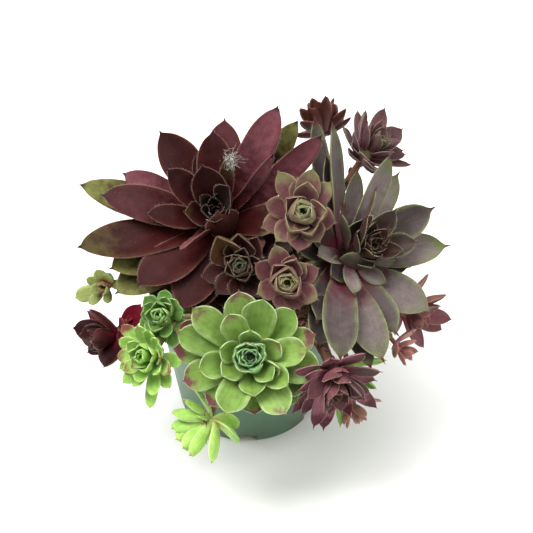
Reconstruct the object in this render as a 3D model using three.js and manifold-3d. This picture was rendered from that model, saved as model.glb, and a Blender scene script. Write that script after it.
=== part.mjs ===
// Hens and chicks: three large houseleek rosettes and fifteen offsets crowded in a round nursery pot.
// Millimetres, +Z up. The origin is the middle of the pot's flat underside.
import * as THREE from 'three';
import { mergeVertices } from 'three/addons/utils/BufferGeometryUtils.js';
import Module from 'manifold-3d';

const wasm = await Module();
wasm.setup();

// Pot
const potHeight = 88;
const baseRadius = 36;
const shoulderRadius = 47;
const rimRadius = 51;
const rimBand = 10;
const ledge = 2;
const wall = 1.5;
const lipRound = 0.7;
const potSides = 32;
const drainSlots = 6;
const slotWidth = 9;
const slotHeight = 4.5;
const slotReach = 5;

// Potting mix, and the plain holes that the stems stand in
const clearance = 0.3;
const mixLevel = 78;
const mixCrown = 1.8;
const mixDip = 2.5;
const rootDepth = 12;
const collarHeight = 3;

// Blades and stems
const goldenAngle = 137.508;
const longBlade = 50;
const middleBlade = 24;
const thinnestBlade = 1.2;
const deepBend = 50;
const stemSides = 6;
const holeSides = 8;
const stemTension = 0.2;
const crownSides = 6;
const cutMargin = 0.45;

// Blade forms. Shares of the half width: at the root, with the widest place along the blade, how blunt
// the tip is and how full its shoulders are. Then thickness over width, bend in degrees and cupping,
// from the outer blades to the inner ones.
const broad = {
  root: 0.48, widest: 0.6, blunt: 2.2, shoulder: 0.7, thick: 0.17, bend: [14, 8], cup: [0.2, 0.5],
};
const slender = {
  root: 0.46, widest: 0.62, blunt: 2.2, shoulder: 0.72, thick: 0.17, bend: [12, 8], cup: [0.24, 0.55],
};
const plump = {
  root: 0.44, widest: 0.64, blunt: 2.7, shoulder: 0.55, thick: 0.26, bend: [24, 14], cup: [0.22, 0.6],
};
const stubby = {
  root: 0.58, widest: 0.56, blunt: 2, shoulder: 0.75, thick: 0.26, bend: [18, 10], cup: [0.24, 0.6],
};
const drop = {
  root: 0.32, widest: 0.66, blunt: 2.4, shoulder: 0.55, thick: 0.52, bend: [15, 10], cup: [0.06, 0.3],
};

// Rosettes. at: the middle of the crown. face: the azimuth and elevation it looks to. crown: radius
// and height. blades: [azimuth round the face, tier from 0 outside to 1 at the heart, lift off the
// face plane, length, width, roll, bend, cupping]. heart: the inner blades, turned by the golden
// angle, from the first value of each range to the second, and how many of them stand out as solids.
// stem: from inside the crown down to its foot.
const rosettes = {
  dark_hen: {
    at: [-14, 14, 109], face: [-105, 62], crown: [9, 14], form: broad, color: '#5a2e30',
    blades: [
      [182, 0, 18, 68, 17], [188, 0.3, 25, 58, 19], [169, 0.15, 18, 50, 15],
      [138, 0.25, 30, 51, 20], [97, 0.1, 25, 48, 19], [103, 0.3, 35, 43, 18],
      [64, 0.3, 35, 65, 17, 25], [63, 0.05, 15, 53, 14], [69, 0.1, 22, 60, 16],
      [42, 0.15, 25, 66, 14, 45], [57, 0.05, 24, 61, 14, 25], [44, 0.5, 42, 47, 10, 60],
      [199, 0.5, 30, 35, 14], [159, 0.6, 52, 39, 14], [117, 0.75, 60, 32, 17],
      [212, 0.25, 20, 71, 21], [232, 0, 10, 60, 18], [252, 0.05, 4, 46, 17],
      [274, 0.05, 10, 46, 18], [296, 0.15, 16, 34, 17], [3, 0.2, 24, 36, 17],
      [241, 0.2, 20, 55, 22], [266, 0.1, 15, 52, 22], [201, 0.65, 48, 19, 13], [80, 0.6, 50, 33, 8],
      [45, 0.85, 68, 26, 14], [325, 0.8, 74, 22, 18, 0, 45], [312, 0, 4, 38, 17],
    ],
    heart: { count: 12, shown: 2, tier: 0.85, spin: 20, lift: [62, 84], length: [17, 6], width: [8, 3.2] },
    stem: { radius: 6, foot: [-12, 10], path: [[-14, 13.5, 105], [-13, 11, 91]] },
  },
  grey_hen: {
    at: [50, -4, 104], face: [-50, 62], crown: [8, 16], form: slender, color: '#7d7073',
    blades: [
      [351, 0.4, 28, 46, 17], [330, 0.2, 14, 48, 17], [322, 0.6, 35, 34, 13],
      [24, 0.15, 20, 47, 16], [37, 0.4, 32, 50, 14, 12], [43, 0.7, 52, 33, 7, 45],
      [75, 0.2, 32, 63, 13, 20], [80, 0.1, 32, 49, 11], [53, 0.1, 25, 40, 11], [73, 0, 15, 67, 12],
      [287, 0.1, 12, 48, 19], [223, 0.2, 15, 67, 18], [243, 0.1, 15, 64, 19], [240, 0, 8, 61, 13],
      [209, 0.1, 14, 46, 17], [215, 0, 8, 55, 16], [199, 0.4, 30, 28, 13], [190, 0.1, 16, 36, 16],
      [227, 0.5, 22, 30, 12], [103, 0.7, 55, 22, 9, 50], [293, 0.6, 40, 23, 7, 60],
      [267, 0.4, 30, 28, 8, 50], [319, 0, 5, 29, 12], [355, 0.75, 50, 26, 11],
      [225, 0.75, 62, 20, 13, 0, 35], [318, 0.75, 50, 26, 10], [148, 0.1, 22, 32, 13],
      [98, 0.1, 20, 28, 13],
    ],
    heart: { count: 14, shown: 2, tier: 0.75, spin: 60, lift: [56, 84], length: [17, 7], width: [8, 3] },
    stem: { radius: 5.5, foot: [37, 2], path: [[48.5, -2, 100], [42, 0, 89]] },
  },
  green_hen: {
    at: [2, -63, 90], face: [-92, 48], crown: [8, 11], form: plump, color: '#83aa55',
    blades: [
      [175, 0, 8, 33, 13], [157, 0.05, 15, 35, 12], [163, 0.25, 15, 35, 14], [141, 0.2, 22, 36, 14],
      [101, 0.15, 22, 32, 17], [78, 0.25, 25, 29, 17], [48, 0.2, 15, 29, 15], [21, 0.1, 12, 30, 13],
      [9, 0.4, 20, 27, 14], [352, 0.2, 8, 31, 17], [331, 0.05, 0, 26, 15], [318, 0, 0, 26, 12],
      [304, 0.2, 15, 30, 16], [276, 0.1, 5, 23, 15], [248, 0.35, 25, 30, 16],
      [201, 0.1, 10, 31, 15], [230, 0.05, 5, 26, 13], [200, 0.45, 32, 23, 14, 0, 35, 0.5],
      [134, 0.45, 38, 23, 14, 0, 35, 0.5], [173, 0.55, 44, 17, 11, 0, 30],
      [23, 0.6, 44, 17, 12, 20, 30], [316, 0.45, 34, 20, 13, 0, 35],
      [278, 0.4, 38, 19, 13, 0, 50, 0.6], [91, 0.45, 48, 17, 14, 0, 30],
      [55, 0.45, 42, 19, 12, -15, 35], [215, 0.7, 52, 15, 10, -10, 40],
      [340, 0.6, 46, 16, 10, 0, 40], [123, 0.65, 54, 15, 10, 0, 30], [158, 0.75, 56, 14, 9, 15, 30],
    ],
    heart: { count: 18, shown: 2, tier: 0.8, spin: 30, lift: [60, 84], length: [11, 5.5], width: [6.5, 3] },
    stem: { radius: 3, foot: [2, -34], path: [[2, -61.5, 89], [2, -52, 93], [2, -40, 89]] },
  },
  rose_chick_upper: {
    at: [27, -7, 131], face: [-90, 48], crown: [5.5, 9], form: stubby, color: '#7a5258',
    blades: [
      [121, 0.1, 15, 22, 11], [99, 0.05, 18, 16, 10], [78, 0.1, 18, 21, 12], [49, 0.1, 12, 18, 11],
      [345, 0.1, 10, 14, 12], [300, 0.1, 15, 14, 12], [262, 0.1, 15, 17, 13],
      [226, 0.1, 15, 17, 12], [199, 0.05, 12, 19, 11], [165, 0.1, 12, 17, 11],
      [82, 0.4, 22, 18, 12, 0, 55, 0.5], [148, 0.4, 18, 16, 12, 0, 78, 0.7],
      [238, 0.4, 16, 16, 13, 0, 80, 0.75], [290, 0.42, 16, 16, 13, 0, 80, 0.75],
      [8, 0.4, 18, 15, 12, 0, 78, 0.7],
    ],
    heart: {
      count: 9, shown: 3, tier: 0.86, spin: 150, lift: [56, 82],
      length: [11, 7], width: [7, 2.6], bend: [48, 14],
    },
    stem: { radius: 1.8, foot: [18, -4], path: [[27, -5, 129], [25, -3, 112], [19, -4, 92]] },
  },
  rose_chick_lower: {
    at: [19, -34, 111], face: [-90, 45], crown: [5, 8], form: stubby, color: '#7f545b',
    blades: [
      [107, 0.1, 18, 18, 10], [76, 0.2, 25, 13, 9], [46, 0.1, 25, 12, 9], [24, 0.1, 12, 15, 10],
      [332, 0.1, 12, 15, 11], [296, 0.1, 12, 12, 11], [258, 0.1, 12, 12, 10],
      [200, 0.1, 12, 13, 11], [148, 0.1, 12, 16, 11], [68, 0.4, 24, 15, 10.5, 0, 55, 0.5],
      [178, 0.4, 18, 13.5, 11, 0, 82, 0.75], [246, 0.42, 16, 13.5, 11, 0, 84, 0.8],
      [322, 0.4, 18, 13.5, 11, 0, 82, 0.75], [118, 0.42, 22, 13, 10, 0, 78, 0.7],
      [20, 0.42, 22, 13, 10, 0, 78, 0.7],
    ],
    heart: {
      count: 8, shown: 3, tier: 0.86, spin: 10, lift: [56, 82],
      length: [9.5, 6], width: [6, 2.4], bend: [48, 14],
    },
    stem: { radius: 1.7, foot: [12, -20], path: [[19, -32, 109], [15.5, -24, 96]] },
  },
  plum_chick: {
    at: [-3, -19, 107], face: [-95, 50], crown: [5, 8], form: stubby, color: '#4a2a2a',
    blades: [
      [132, 0, 24, 24, 15, -20, 62, 0.8], [96, 0, 24, 20, 15, 0, 60, 0.7],
      [62, 0, 20, 18, 12, 0, 45, 0.6], [196, 0, 10, 17, 11], [232, 0, 12, 15, 11],
      [268, 0, 12, 14, 11], [306, 0, 12, 15, 11],
    ],
    heart: {
      count: 20, shown: 6, tier: 0.2, spin: 20, lift: [34, 84],
      length: [13, 4.5], width: [9, 3.2], bend: [40, 12],
    },
    stem: { radius: 1.7, foot: [-2, -14], path: [[-3, -18, 105], [-2, -15, 92]] },
  },
  wine_chick_left: {
    at: [-65, -38, 80], face: [-165, 8], crown: [3.5, 7], form: stubby, color: '#4a1519',
    blades: [
      [177, 0.2, 30, 20, 11], [205, 0.4, 45, 23, 12], [219, 0.6, 55, 17, 12],
      [260, 0.6, 50, 14, 13], [247, 0.2, 35, 19, 11], [300, 0.2, 28, 18, 13], [85, 0, -20, 20, 12],
      [60, 0, -5, 17, 11], [330, 0.1, 10, 16, 11],
    ],
    heart: { count: 8, shown: 2, tier: 0.3, spin: 120, lift: [35, 80], length: [19, 7], width: [11, 4.5] },
    stem: {
      radius: 1.5, foot: [-31, -20],
      path: [[-63.4, -37.6, 80], [-55, -34, 89.5], [-46, -29, 92], [-38, -24, 89.5]],
    },
  },
  bead_chick: {
    at: [-69.5, -12, 88], face: [-112, 28], crown: [2.2, 4], form: drop, color: '#97a266',
    blades: [
      [213, 0.2, 12, 16.5, 8, 0, 14], [240, 0.2, 20, 12, 5], [172, 0.2, 14, 10, 5],
      [120, 0.3, 26, 10, 6.5], [76, 0.3, 30, 9, 6], [25, 0.2, 20, 8, 5], [292, 0.2, 20, 8, 5],
    ],
    heart: { count: 4, shown: 1, tier: 0.7, spin: 200, lift: [48, 78], length: [8, 5], width: [5.5, 3.5] },
    stem: {
      radius: 1.2, foot: [-34, -8],
      path: [[-69, -11.8, 87.6], [-58, -10, 91.5], [-48, -9, 91.4], [-41, -8.5, 89]],
    },
  },
  lime_chick_closed: {
    at: [-38, -41, 97], face: [-106, 46], crown: [4, 9], form: plump, color: '#7aa052',
    blades: [
      [18, 0.1, 34, 13, 9], [62, 0.1, 38, 14, 9], [102, 0.1, 28, 14, 9], [140, 0.1, 36, 13, 9],
      [180, 0.1, 34, 13, 9], [222, 0.1, 32, 13, 9], [262, 0.1, 24, 15, 9], [298, 0.1, 12, 17, 9],
      [335, 0.1, 18, 15, 9], [40, 0.4, 52, 13, 9, 0, 38, 0.7], [196, 0.4, 50, 13, 9.5, 0, 40, 0.75],
    ],
    heart: {
      count: 9, shown: 2, tier: 0.7, spin: 20, lift: [56, 84],
      length: [12, 5], width: [8, 3.2], bend: [40, 12],
    },
    stem: { radius: 1.4, foot: [-25, -26], path: [[-37.4, -40, 96], [-33, -35, 94], [-28, -29, 88]] },
  },
  lime_chick_open: {
    at: [-46, -57, 85], face: [-122, 38], crown: [4.5, 9], form: plump, color: '#86b34c',
    blades: [
      [150, 0.1, 28, 18, 8], [172, 0.15, 30, 15, 8], [200, 0.2, 30, 14, 8], [224, 0.1, 24, 14, 8],
      [246, 0.1, 18, 16, 8], [266, 0.25, 24, 14, 8], [287, 0.05, 2, 21, 8],
      [304, 0.15, 12, 17, 8.5], [330, 0.15, 18, 16, 8.5], [356, 0.25, 25, 16, 8],
      [14, 0.05, 14, 15, 8], [39, 0.3, 34, 16, 8], [66, 0.3, 40, 15, 8], [95, 0.2, 36, 15, 8],
      [124, 0.1, 32, 15, 8], [108, 0.5, 52, 12.5, 8.5, 0, 38, 0.7],
      [252, 0.5, 52, 12.5, 9, 0, 38, 0.75],
    ],
    heart: {
      count: 8, shown: 1, tier: 0.72, spin: 80, lift: [58, 84],
      length: [10.5, 5], width: [7, 3], bend: [40, 12],
    },
    stem: {
      radius: 1.6, foot: [-18, -32],
      path: [[-45, -55.5, 84], [-39, -48, 90], [-31, -39, 93], [-22, -34, 88]],
    },
  },
  lime_chick_hanging: {
    at: [-19, -74, 57], face: [-150, -15], crown: [3.5, 8], form: plump, color: '#9cc25c',
    blades: [
      [34, 0, -30, 16, 9], [330, 0, -20, 15, 10], [275, 0.1, 20, 27, 10.5], [255, 0.4, 40, 24, 9],
      [246, 0.6, 45, 20, 8], [217, 0.7, 50, 19, 8], [196, 0.7, 50, 19, 8], [163, 0.5, 40, 19, 10],
      [134, 0.3, 25, 16, 8], [143, 0.2, 20, 18, 9], [80, 0.1, -5, 12, 8],
    ],
    heart: { count: 4, shown: 2, tier: 0.8, spin: 80, lift: [60, 84], length: [14, 8], width: [6, 4] },
    stem: {
      radius: 1.6, foot: [-8, -36],
      path: [[-17.5, -73, 57.5], [-11, -60, 74], [-9, -54.5, 86], [-9, -50, 92], [-8.5, -42, 89]],
    },
  },
  wine_chick_front: {
    at: [41, -71, 86], face: [-78, -8], crown: [6, 11], form: slender, color: '#6a3440',
    blades: [
      [228, 0.05, 10, 28, 9], [234, 0.1, 15, 26, 10], [246, 0.2, 25, 29, 11],
      [260, 0.1, 20, 32, 11], [253, 0.5, 40, 18, 10], [185, 0.3, 40, 18, 10, 40],
      [97, 0.1, 5, 10, 10], [335, 0.1, 5, 22, 11], [339, 0.1, 0, 15, 10], [321, 0.3, 30, 20, 12],
      [310, 0.1, 10, 33, 10], [333, 0.6, 60, 12, 10], [285, 0.2, 22, 24, 11],
    ],
    heart: { count: 10, shown: 3, tier: 0.5, spin: 80, lift: [55, 82], length: [18, 8], width: [9, 4] },
    stem: {
      radius: 2, foot: [19, -32],
      path: [[40.5, -68.5, 86.5], [36, -57, 88.5], [29, -44, 91.5], [22, -36, 87]],
    },
  },
  leaf_green_chick: {
    at: [50, -50, 66], face: [-70, -20], crown: [3.5, 7], form: stubby, color: '#86b04e',
    blades: [],
    heart: { count: 11, shown: 5, tier: 0, spin: 20, lift: [8, 75], length: [19, 7], width: [8, 4] },
    stem: {
      radius: 1.3, foot: [32.5, -23],
      path: [[49.4, -48.5, 66.5], [46.5, -41, 79], [41.5, -32.5, 91], [36, -27.5, 89]],
    },
  },
  amber_chick: {
    at: [51, -64, 57], face: [-60, -35], crown: [3, 6], form: stubby, color: '#9a6a4c',
    blades: [],
    heart: { count: 9, shown: 4, tier: 0, spin: 20, lift: [20, 75], length: [15, 7], width: [6, 3] },
    stem: {
      radius: 1.2, foot: [25, -28],
      path: [[50.3, -63, 58], [45, -58, 68], [38, -49, 84], [34, -40, 91], [29, -32.5, 88]],
    },
  },
  berry_chick: {
    at: [80, -20, 78], face: [-30, -5], crown: [4, 8], form: stubby, color: '#7d3f48',
    blades: [
      [56, 0.2, 5, 20, 8], [41, 0.4, 40, 20, 10], [329, 0.4, 40, 25, 9], [309, 0.3, 30, 26, 9],
      [282, 0.1, 20, 27, 9], [240, 0.5, 35, 10, 8], [251, 0, -5, 13, 9],
    ],
    heart: { count: 7, shown: 3, tier: 0.5, spin: 20, lift: [50, 80], length: [14, 7], width: [8, 4] },
    stem: {
      radius: 1.5, foot: [41, -7],
      path: [[78.3, -19, 78.2], [68, -15, 86], [58, -11, 90.5], [51, -9.5, 91.4], [45, -8, 88.5]],
    },
  },
  coral_chick: {
    at: [75, -34, 67], face: [-35, -10], crown: [3, 6], form: stubby, color: '#a05a52',
    blades: [],
    heart: { count: 9, shown: 4, tier: 0, spin: 20, lift: [15, 75], length: [14, 6], width: [6, 3] },
    stem: {
      radius: 1.2, foot: [38, -15],
      path: [[74, -33.3, 67.2], [65, -28, 78], [55, -22, 89], [48, -18.5, 91], [42, -16, 88]],
    },
  },
  wine_chick_back: {
    at: [38, 64, 128], face: [115, 45], crown: [4, 8], form: stubby, color: '#5a2624',
    blades: [
      [45, 0.1, 12, 23, 8], [60, 0.2, 22, 25, 8], [74, 0.2, 25, 25, 8], [102, 0.3, 30, 18, 11],
      [118, 0.1, 18, 18, 8], [150, 0, 10, 14, 9], [195, 0, 15, 13, 11], [240, 0, 10, 13, 10],
      [290, 0.05, 12, 15, 9], [10, 0, 8, 17, 8],
    ],
    heart: { count: 7, shown: 2, tier: 0.5, spin: 20, lift: [45, 82], length: [16, 7], width: [8, 4] },
    stem: {
      radius: 1.7, foot: [25, 31],
      path: [[38.3, 63, 127], [37, 54, 117], [33, 44, 104], [28, 37, 92]],
    },
  },
  mauve_chick_back: {
    at: [60, 47, 125], face: [10, 45], crown: [5, 9], form: slender, color: '#71544f',
    blades: [
      [8, 0.1, 15, 26, 8], [30, 0.3, 35, 20, 8], [358, 0.4, 45, 26, 10], [52, 0.5, 55, 15, 9],
      [315, 0.3, 35, 28, 11], [300, 0.1, 15, 30, 9], [285, 0.25, 25, 24, 9], [255, 0.1, 30, 14, 11],
      [200, 0.05, 5, 14, 12], [160, 0.1, 25, 13, 11], [95, 0.1, 30, 16, 9],
    ],
    heart: { count: 8, shown: 3, tier: 0.5, spin: 80, lift: [50, 82], length: [16, 8], width: [8, 4] },
    stem: {
      radius: 1.9, foot: [33, 23],
      path: [[58.8, 46.8, 124], [53, 43, 114], [44, 36, 102], [37, 29, 92]],
    },
  },
};

const radians = THREE.MathUtils.degToRad;
const mix = THREE.MathUtils.lerp;
const clamp = THREE.MathUtils.clamp;

/** A closed solid from a three.js geometry. */
function solidOf(geometry) {
  const bare = geometry.index ? geometry.toNonIndexed() : geometry.clone();
  bare.deleteAttribute('normal');
  bare.deleteAttribute('uv');
  const merged = mergeVertices(bare, 1e-4);
  const vertProperties = new Float32Array(merged.attributes.position.array);
  const triVerts = new Uint32Array(merged.index.array);
  return new wasm.Manifold(new wasm.Mesh({ numProp: 3, vertProperties, triVerts }));
}

/** A three.js geometry from a solid. */
function geometryOf(solid) {
  const mesh = solid.getMesh();
  const positions = [];
  for (const corner of mesh.triVerts) {
    const start = corner * mesh.numProp;
    positions.push(...mesh.vertProperties.subarray(start, start + 3));
  }
  const geometry = new THREE.BufferGeometry();
  geometry.setAttribute('position', new THREE.Float32BufferAttribute(positions, 3));
  geometry.computeVertexNormals();
  return geometry;
}

/** The largest body of a solid, without the loose scraps that a cut leaves. */
function largestBody(solid) {
  return solid.decompose().sort((a, b) => b.volume() - a.volume())[0];
}

/** A closed skin over rings of points, closed by a point at each end. */
function skin(start, rings, end) {
  const count = rings[0].length;
  const triangles = [];
  for (let j = 0; j < count; j++) {
    const k = (j + 1) % count;
    triangles.push(start, rings[0][k], rings[0][j]);
    for (let i = 0; i + 1 < rings.length; i++) {
      triangles.push(rings[i][j], rings[i][k], rings[i + 1][k]);
      triangles.push(rings[i][j], rings[i + 1][k], rings[i + 1][j]);
    }
    triangles.push(rings.at(-1)[j], rings.at(-1)[k], end);
  }
  return solidOf(new THREE.BufferGeometry().setFromPoints(triangles));
}

/** Right, up and outward directions of the plane that a rosette faces. */
function facing({ face }) {
  const [azimuth, elevation] = face.map(radians);
  const out = new THREE.Vector3(
    Math.cos(elevation) * Math.cos(azimuth),
    Math.cos(elevation) * Math.sin(azimuth),
    Math.sin(elevation),
  );
  const right = new THREE.Vector3(-Math.sin(azimuth), Math.cos(azimuth), 0);
  return { right, up: new THREE.Vector3().crossVectors(out, right), out };
}

/** Half width of a blade at a share of its length, as a share of the widest. */
function outline(share, form) {
  if (share < form.widest) {
    const rise = Math.sin(0.5 * Math.PI * clamp(share / form.widest, 0, 1)) ** 1.3;
    return mix(form.root, 1, rise);
  }
  const past = clamp((share - form.widest) / (1 - form.widest), 0, 1);
  return (1 - past ** form.blunt) ** form.shoulder;
}

/** Thickness of a blade at a share of its length, as a share of the thickest. */
function plumpness(share) {
  const belly = 0.75 + 0.25 * Math.sin(Math.PI * clamp(share * 1.1, 0, 1));
  return belly * (1 - 0.75 * clamp((share - 0.55) / 0.45, 0, 1) ** 1.6);
}

/** Shares along a blade where its sections lie. */
function stations(length, bend) {
  if (length > longBlade) return [-0.05, 0.22, 0.55, 0.82];
  if (length > middleBlade || bend > deepBend) return [-0.08, 0.3, 0.7];
  return [-0.1, 0.55];
}

/** One blade: flat above, keeled below, bent on an arc and ending in a point. */
function bladeSolid(rosette, [azimuth, tier, lift, length, width, roll = 0, bend, fold], margin) {
  const { form, at, crown: [radius, height] } = rosette;
  const { right, up, out } = facing(rosette);
  const turn = radians(azimuth);
  const along = right.clone().multiplyScalar(Math.cos(turn)).addScaledVector(up, Math.sin(turn));
  const across = new THREE.Vector3().crossVectors(out, along);
  const arc = radians(bend ?? mix(...form.bend, tier));
  const cup = fold ?? mix(...form.cup, tier);
  const shares = stations(length, bend);
  const origin = new THREE.Vector3(...at)
    .addScaledVector(along, radius * (1 - 0.65 * tier) * 0.75)
    .addScaledVector(out, height * (tier - 0.5));
  const start = radians(lift);
  const place = (share) => origin.clone()
    .addScaledVector(along, (length / arc) * (Math.sin(start + arc * share) - Math.sin(start)))
    .addScaledVector(out, (length / arc) * (Math.cos(start) - Math.cos(start + arc * share)));
  const rings = shares.map((share) => {
    const angle = start + arc * share;
    const normal = out.clone().multiplyScalar(Math.cos(angle)).addScaledVector(along, -Math.sin(angle));
    const twist = radians(roll) * clamp(share * 2.5, 0, 1);
    const side = across.clone().multiplyScalar(Math.cos(twist)).addScaledVector(normal, Math.sin(twist));
    const top = normal.clone().multiplyScalar(Math.cos(twist)).addScaledVector(across, -Math.sin(twist));
    const half = 0.5 * width * outline(share, form);
    const thickness = Math.max(plumpness(share) * form.thick * width, thinnestBlade);
    const edge = cup * half + 0.15 * thickness;
    const keel = -0.68 * thickness;
    const section = [[half + margin, edge + margin], [-half - margin, edge + margin], [0, keel - margin]];
    if (margin > 0) {
      section.splice(2, 0, [-half - margin, edge - margin]);
      section.push([half + margin, edge - margin]);
    }
    return section.map(([x, y]) => place(share).addScaledVector(side, x).addScaledVector(top, y));
  });
  return skin(place(shares[0]), rings, place(1 + (0.5 * margin) / length));
}

/** The core that a rosette's blades grow from. */
function crownSolid(rosette, margin) {
  const [radius, height] = rosette.crown;
  const { right, up, out } = facing(rosette);
  const middle = new THREE.Vector3(...rosette.at);
  const ring = (level, share) => Array.from({ length: crownSides }, (_, i) => {
    const angle = (2 * Math.PI * i) / crownSides;
    return middle.clone().addScaledVector(out, level * height)
      .addScaledVector(right, Math.cos(angle) * (share * radius + margin))
      .addScaledVector(up, Math.sin(angle) * (share * radius + margin));
  });
  const rings = [ring(-0.5, 0.95), ring(-0.1, 0.76), ring(0.3, 0.5), ring(0.5, 0.3)];
  const tip = (level) => middle.clone().addScaledVector(out, level);
  return skin(tip(-0.62 * height - margin), rings, tip(0.7 * height + margin));
}

/** A round stem from inside the crown down into its hole in the mix. */
function stemSolid({ stem: { radius, foot, path } }, margin) {
  const points = path.map((point) => new THREE.Vector3(...point));
  points.push(new THREE.Vector3(...foot, mixLevel + collarHeight));
  points.push(new THREE.Vector3(...foot, mixLevel - rootDepth));
  const section = new THREE.Shape();
  section.absarc(0, 0, radius + margin, 0, 2 * Math.PI);
  return solidOf(new THREE.ExtrudeGeometry(section, {
    extrudePath: new THREE.CatmullRomCurve3(points, false, 'catmullrom', stemTension),
    steps: points.length + 2,
    curveSegments: stemSides / 2,
  }));
}

/** All blades of a rosette: the placed ones, then those of the heart. */
function bladesOf({ blades, heart }) {
  const inner = Array.from({ length: heart.shown }, (_, i) => {
    const share = i / (heart.count - 1);
    const blade = [
      heart.spin + i * goldenAngle,
      mix(heart.tier, 1, share),
      mix(...heart.lift, share ** 0.8),
      mix(...heart.length, share ** 1.1),
      mix(...heart.width, share ** 1.3),
    ];
    return heart.bend ? [...blade, 0, mix(...heart.bend, share)] : blade;
  });
  return [...blades, ...inner];
}

/** A whole rosette in one solid. A margin makes every piece of it that much fatter. */
function rosetteSolid(rosette, margin = 0) {
  const solid = crownSolid(rosette, margin).add(stemSolid(rosette, margin));
  const blades = bladesOf(rosette).map((blade) => bladeSolid(rosette, blade, margin));
  return blades.reduce((sum, blade) => sum.add(blade), solid);
}

/** The pot: a tapered cup with a ledge under its flared rim band. */
function potSolid() {
  const ledgeLevel = potHeight - rimBand;
  const innerSlope = (shoulderRadius - baseRadius) / ledgeLevel;
  const profile = [
    [0, 0],
    [baseRadius, 0],
    [shoulderRadius, ledgeLevel],
    [shoulderRadius + ledge, ledgeLevel],
    [rimRadius, potHeight - lipRound],
    [rimRadius - lipRound, potHeight],
    [rimRadius - wall, potHeight],
    [shoulderRadius - wall, ledgeLevel - wall],
    [baseRadius - wall + innerSlope * wall, wall],
    [0, wall],
  ].map(([x, y]) => new THREE.Vector2(x, y));
  const cup = new THREE.LatheGeometry(profile, potSides).rotateX(Math.PI / 2);
  let solid = solidOf(cup);
  for (let i = 0; i < drainSlots; i++) {
    const slot = new THREE.BoxGeometry(2 * slotReach, slotWidth, 2 * slotHeight)
      .translate(baseRadius, 0, 0)
      .rotateZ((2 * Math.PI * (i + 0.5)) / drainSlots);
    solid = solid.subtract(solidOf(slot));
  }
  return solid;
}

/** The potting mix, clear of the pot, with a plain hole for each stem. */
function mixSolid() {
  const ledgeLevel = potHeight - rimBand;
  const floor = wall + clearance;
  const innerSlope = (shoulderRadius - baseRadius) / ledgeLevel;
  const top = mixLevel - mixDip;
  const edgeRadius = (level) => baseRadius - wall + innerSlope * level - 1.2 * clearance;
  const profile = [
    [0, floor],
    [edgeRadius(floor), floor],
    [edgeRadius(top), top],
    [0.86 * edgeRadius(top), mixLevel],
    [0.4 * edgeRadius(top), mixLevel + 0.6 * mixCrown],
    [0, mixLevel + mixCrown],
  ].map(([x, y]) => new THREE.Vector2(x, y));
  let solid = solidOf(new THREE.LatheGeometry(profile, potSides).rotateX(Math.PI / 2));
  for (const { stem: { radius, foot } } of Object.values(rosettes)) {
    const depth = rootDepth + clearance;
    const holeRadius = radius + 2 * clearance;
    const hole = new THREE.CylinderGeometry(holeRadius, holeRadius, 2 * depth, holeSides)
      .rotateX(Math.PI / 2)
      .translate(...foot, mixLevel);
    solid = solid.subtract(solidOf(hole));
  }
  return solid;
}

/** A named mesh of one solid with a material of its own. */
function part(name, solid, color, roughness) {
  const material = new THREE.MeshStandardMaterial({ color, roughness, metalness: 0 });
  const mesh = new THREE.Mesh(geometryOf(solid), material);
  mesh.name = name;
  return mesh;
}

// Where two rosettes meet, the one listed first gives way to the one listed after it.
const names = Object.keys(rosettes);
const plants = names.map((name) => rosetteSolid(rosettes[name]));
for (let i = 0; i < names.length; i++) {
  for (let j = i + 1; j < names.length; j++) {
    if (plants[i].intersect(plants[j]).isEmpty()) continue;
    plants[i] = plants[i].subtract(rosetteSolid(rosettes[names[j]], cutMargin));
  }
}

const group = new THREE.Group();
group.add(part('pot', potSolid(), '#526c53', 0.45));
group.add(part('potting_mix', mixSolid(), '#3a2a20', 0.95));
names.forEach((name, i) => {
  group.add(part(name, largestBody(plants[i]), rosettes[name].color, 0.5));
});

export default group;
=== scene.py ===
# Potted hens and chicks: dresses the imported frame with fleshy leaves, hairs, runners, pot and soil.
import math
import random

import bmesh
import bpy
import numpy as np
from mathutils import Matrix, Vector, noise


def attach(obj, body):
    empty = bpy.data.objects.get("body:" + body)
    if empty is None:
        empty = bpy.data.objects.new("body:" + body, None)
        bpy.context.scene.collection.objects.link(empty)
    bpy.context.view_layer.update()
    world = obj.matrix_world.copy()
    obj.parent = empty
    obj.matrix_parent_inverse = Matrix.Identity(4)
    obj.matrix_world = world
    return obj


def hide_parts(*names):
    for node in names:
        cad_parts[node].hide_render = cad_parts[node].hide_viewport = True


mm = 0.001  # the plan below is in millimetres, Blender in metres

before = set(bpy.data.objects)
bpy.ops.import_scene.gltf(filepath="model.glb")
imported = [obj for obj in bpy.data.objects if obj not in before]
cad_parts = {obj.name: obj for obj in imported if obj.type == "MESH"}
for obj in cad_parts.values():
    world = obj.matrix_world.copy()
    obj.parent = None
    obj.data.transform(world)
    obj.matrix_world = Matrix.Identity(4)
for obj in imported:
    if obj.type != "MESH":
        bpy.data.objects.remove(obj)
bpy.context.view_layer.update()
print("frame loaded:", len(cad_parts), "nodes")


def linear(hexColor):
    # sRGB hex to a linear RGBA colour
    parts = [int(hexColor[i:i + 2], 16) / 255 for i in (1, 3, 5)]
    return tuple(p / 12.92 if p <= 0.04045 else ((p + 0.055) / 1.055) ** 2.4 for p in parts) + (1.0,)


def addNode(tree, kind, inputs=None, **settings):
    # one node with its settings; an input is a value or another node's output
    node = tree.nodes.new(kind)
    for key, value in settings.items():
        setattr(node, key, value)
    for socket, value in (inputs or {}).items():
        if isinstance(value, bpy.types.NodeSocket):
            tree.links.new(value, node.inputs[socket])
        else:
            node.inputs[socket].default_value = value
    return node


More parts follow.
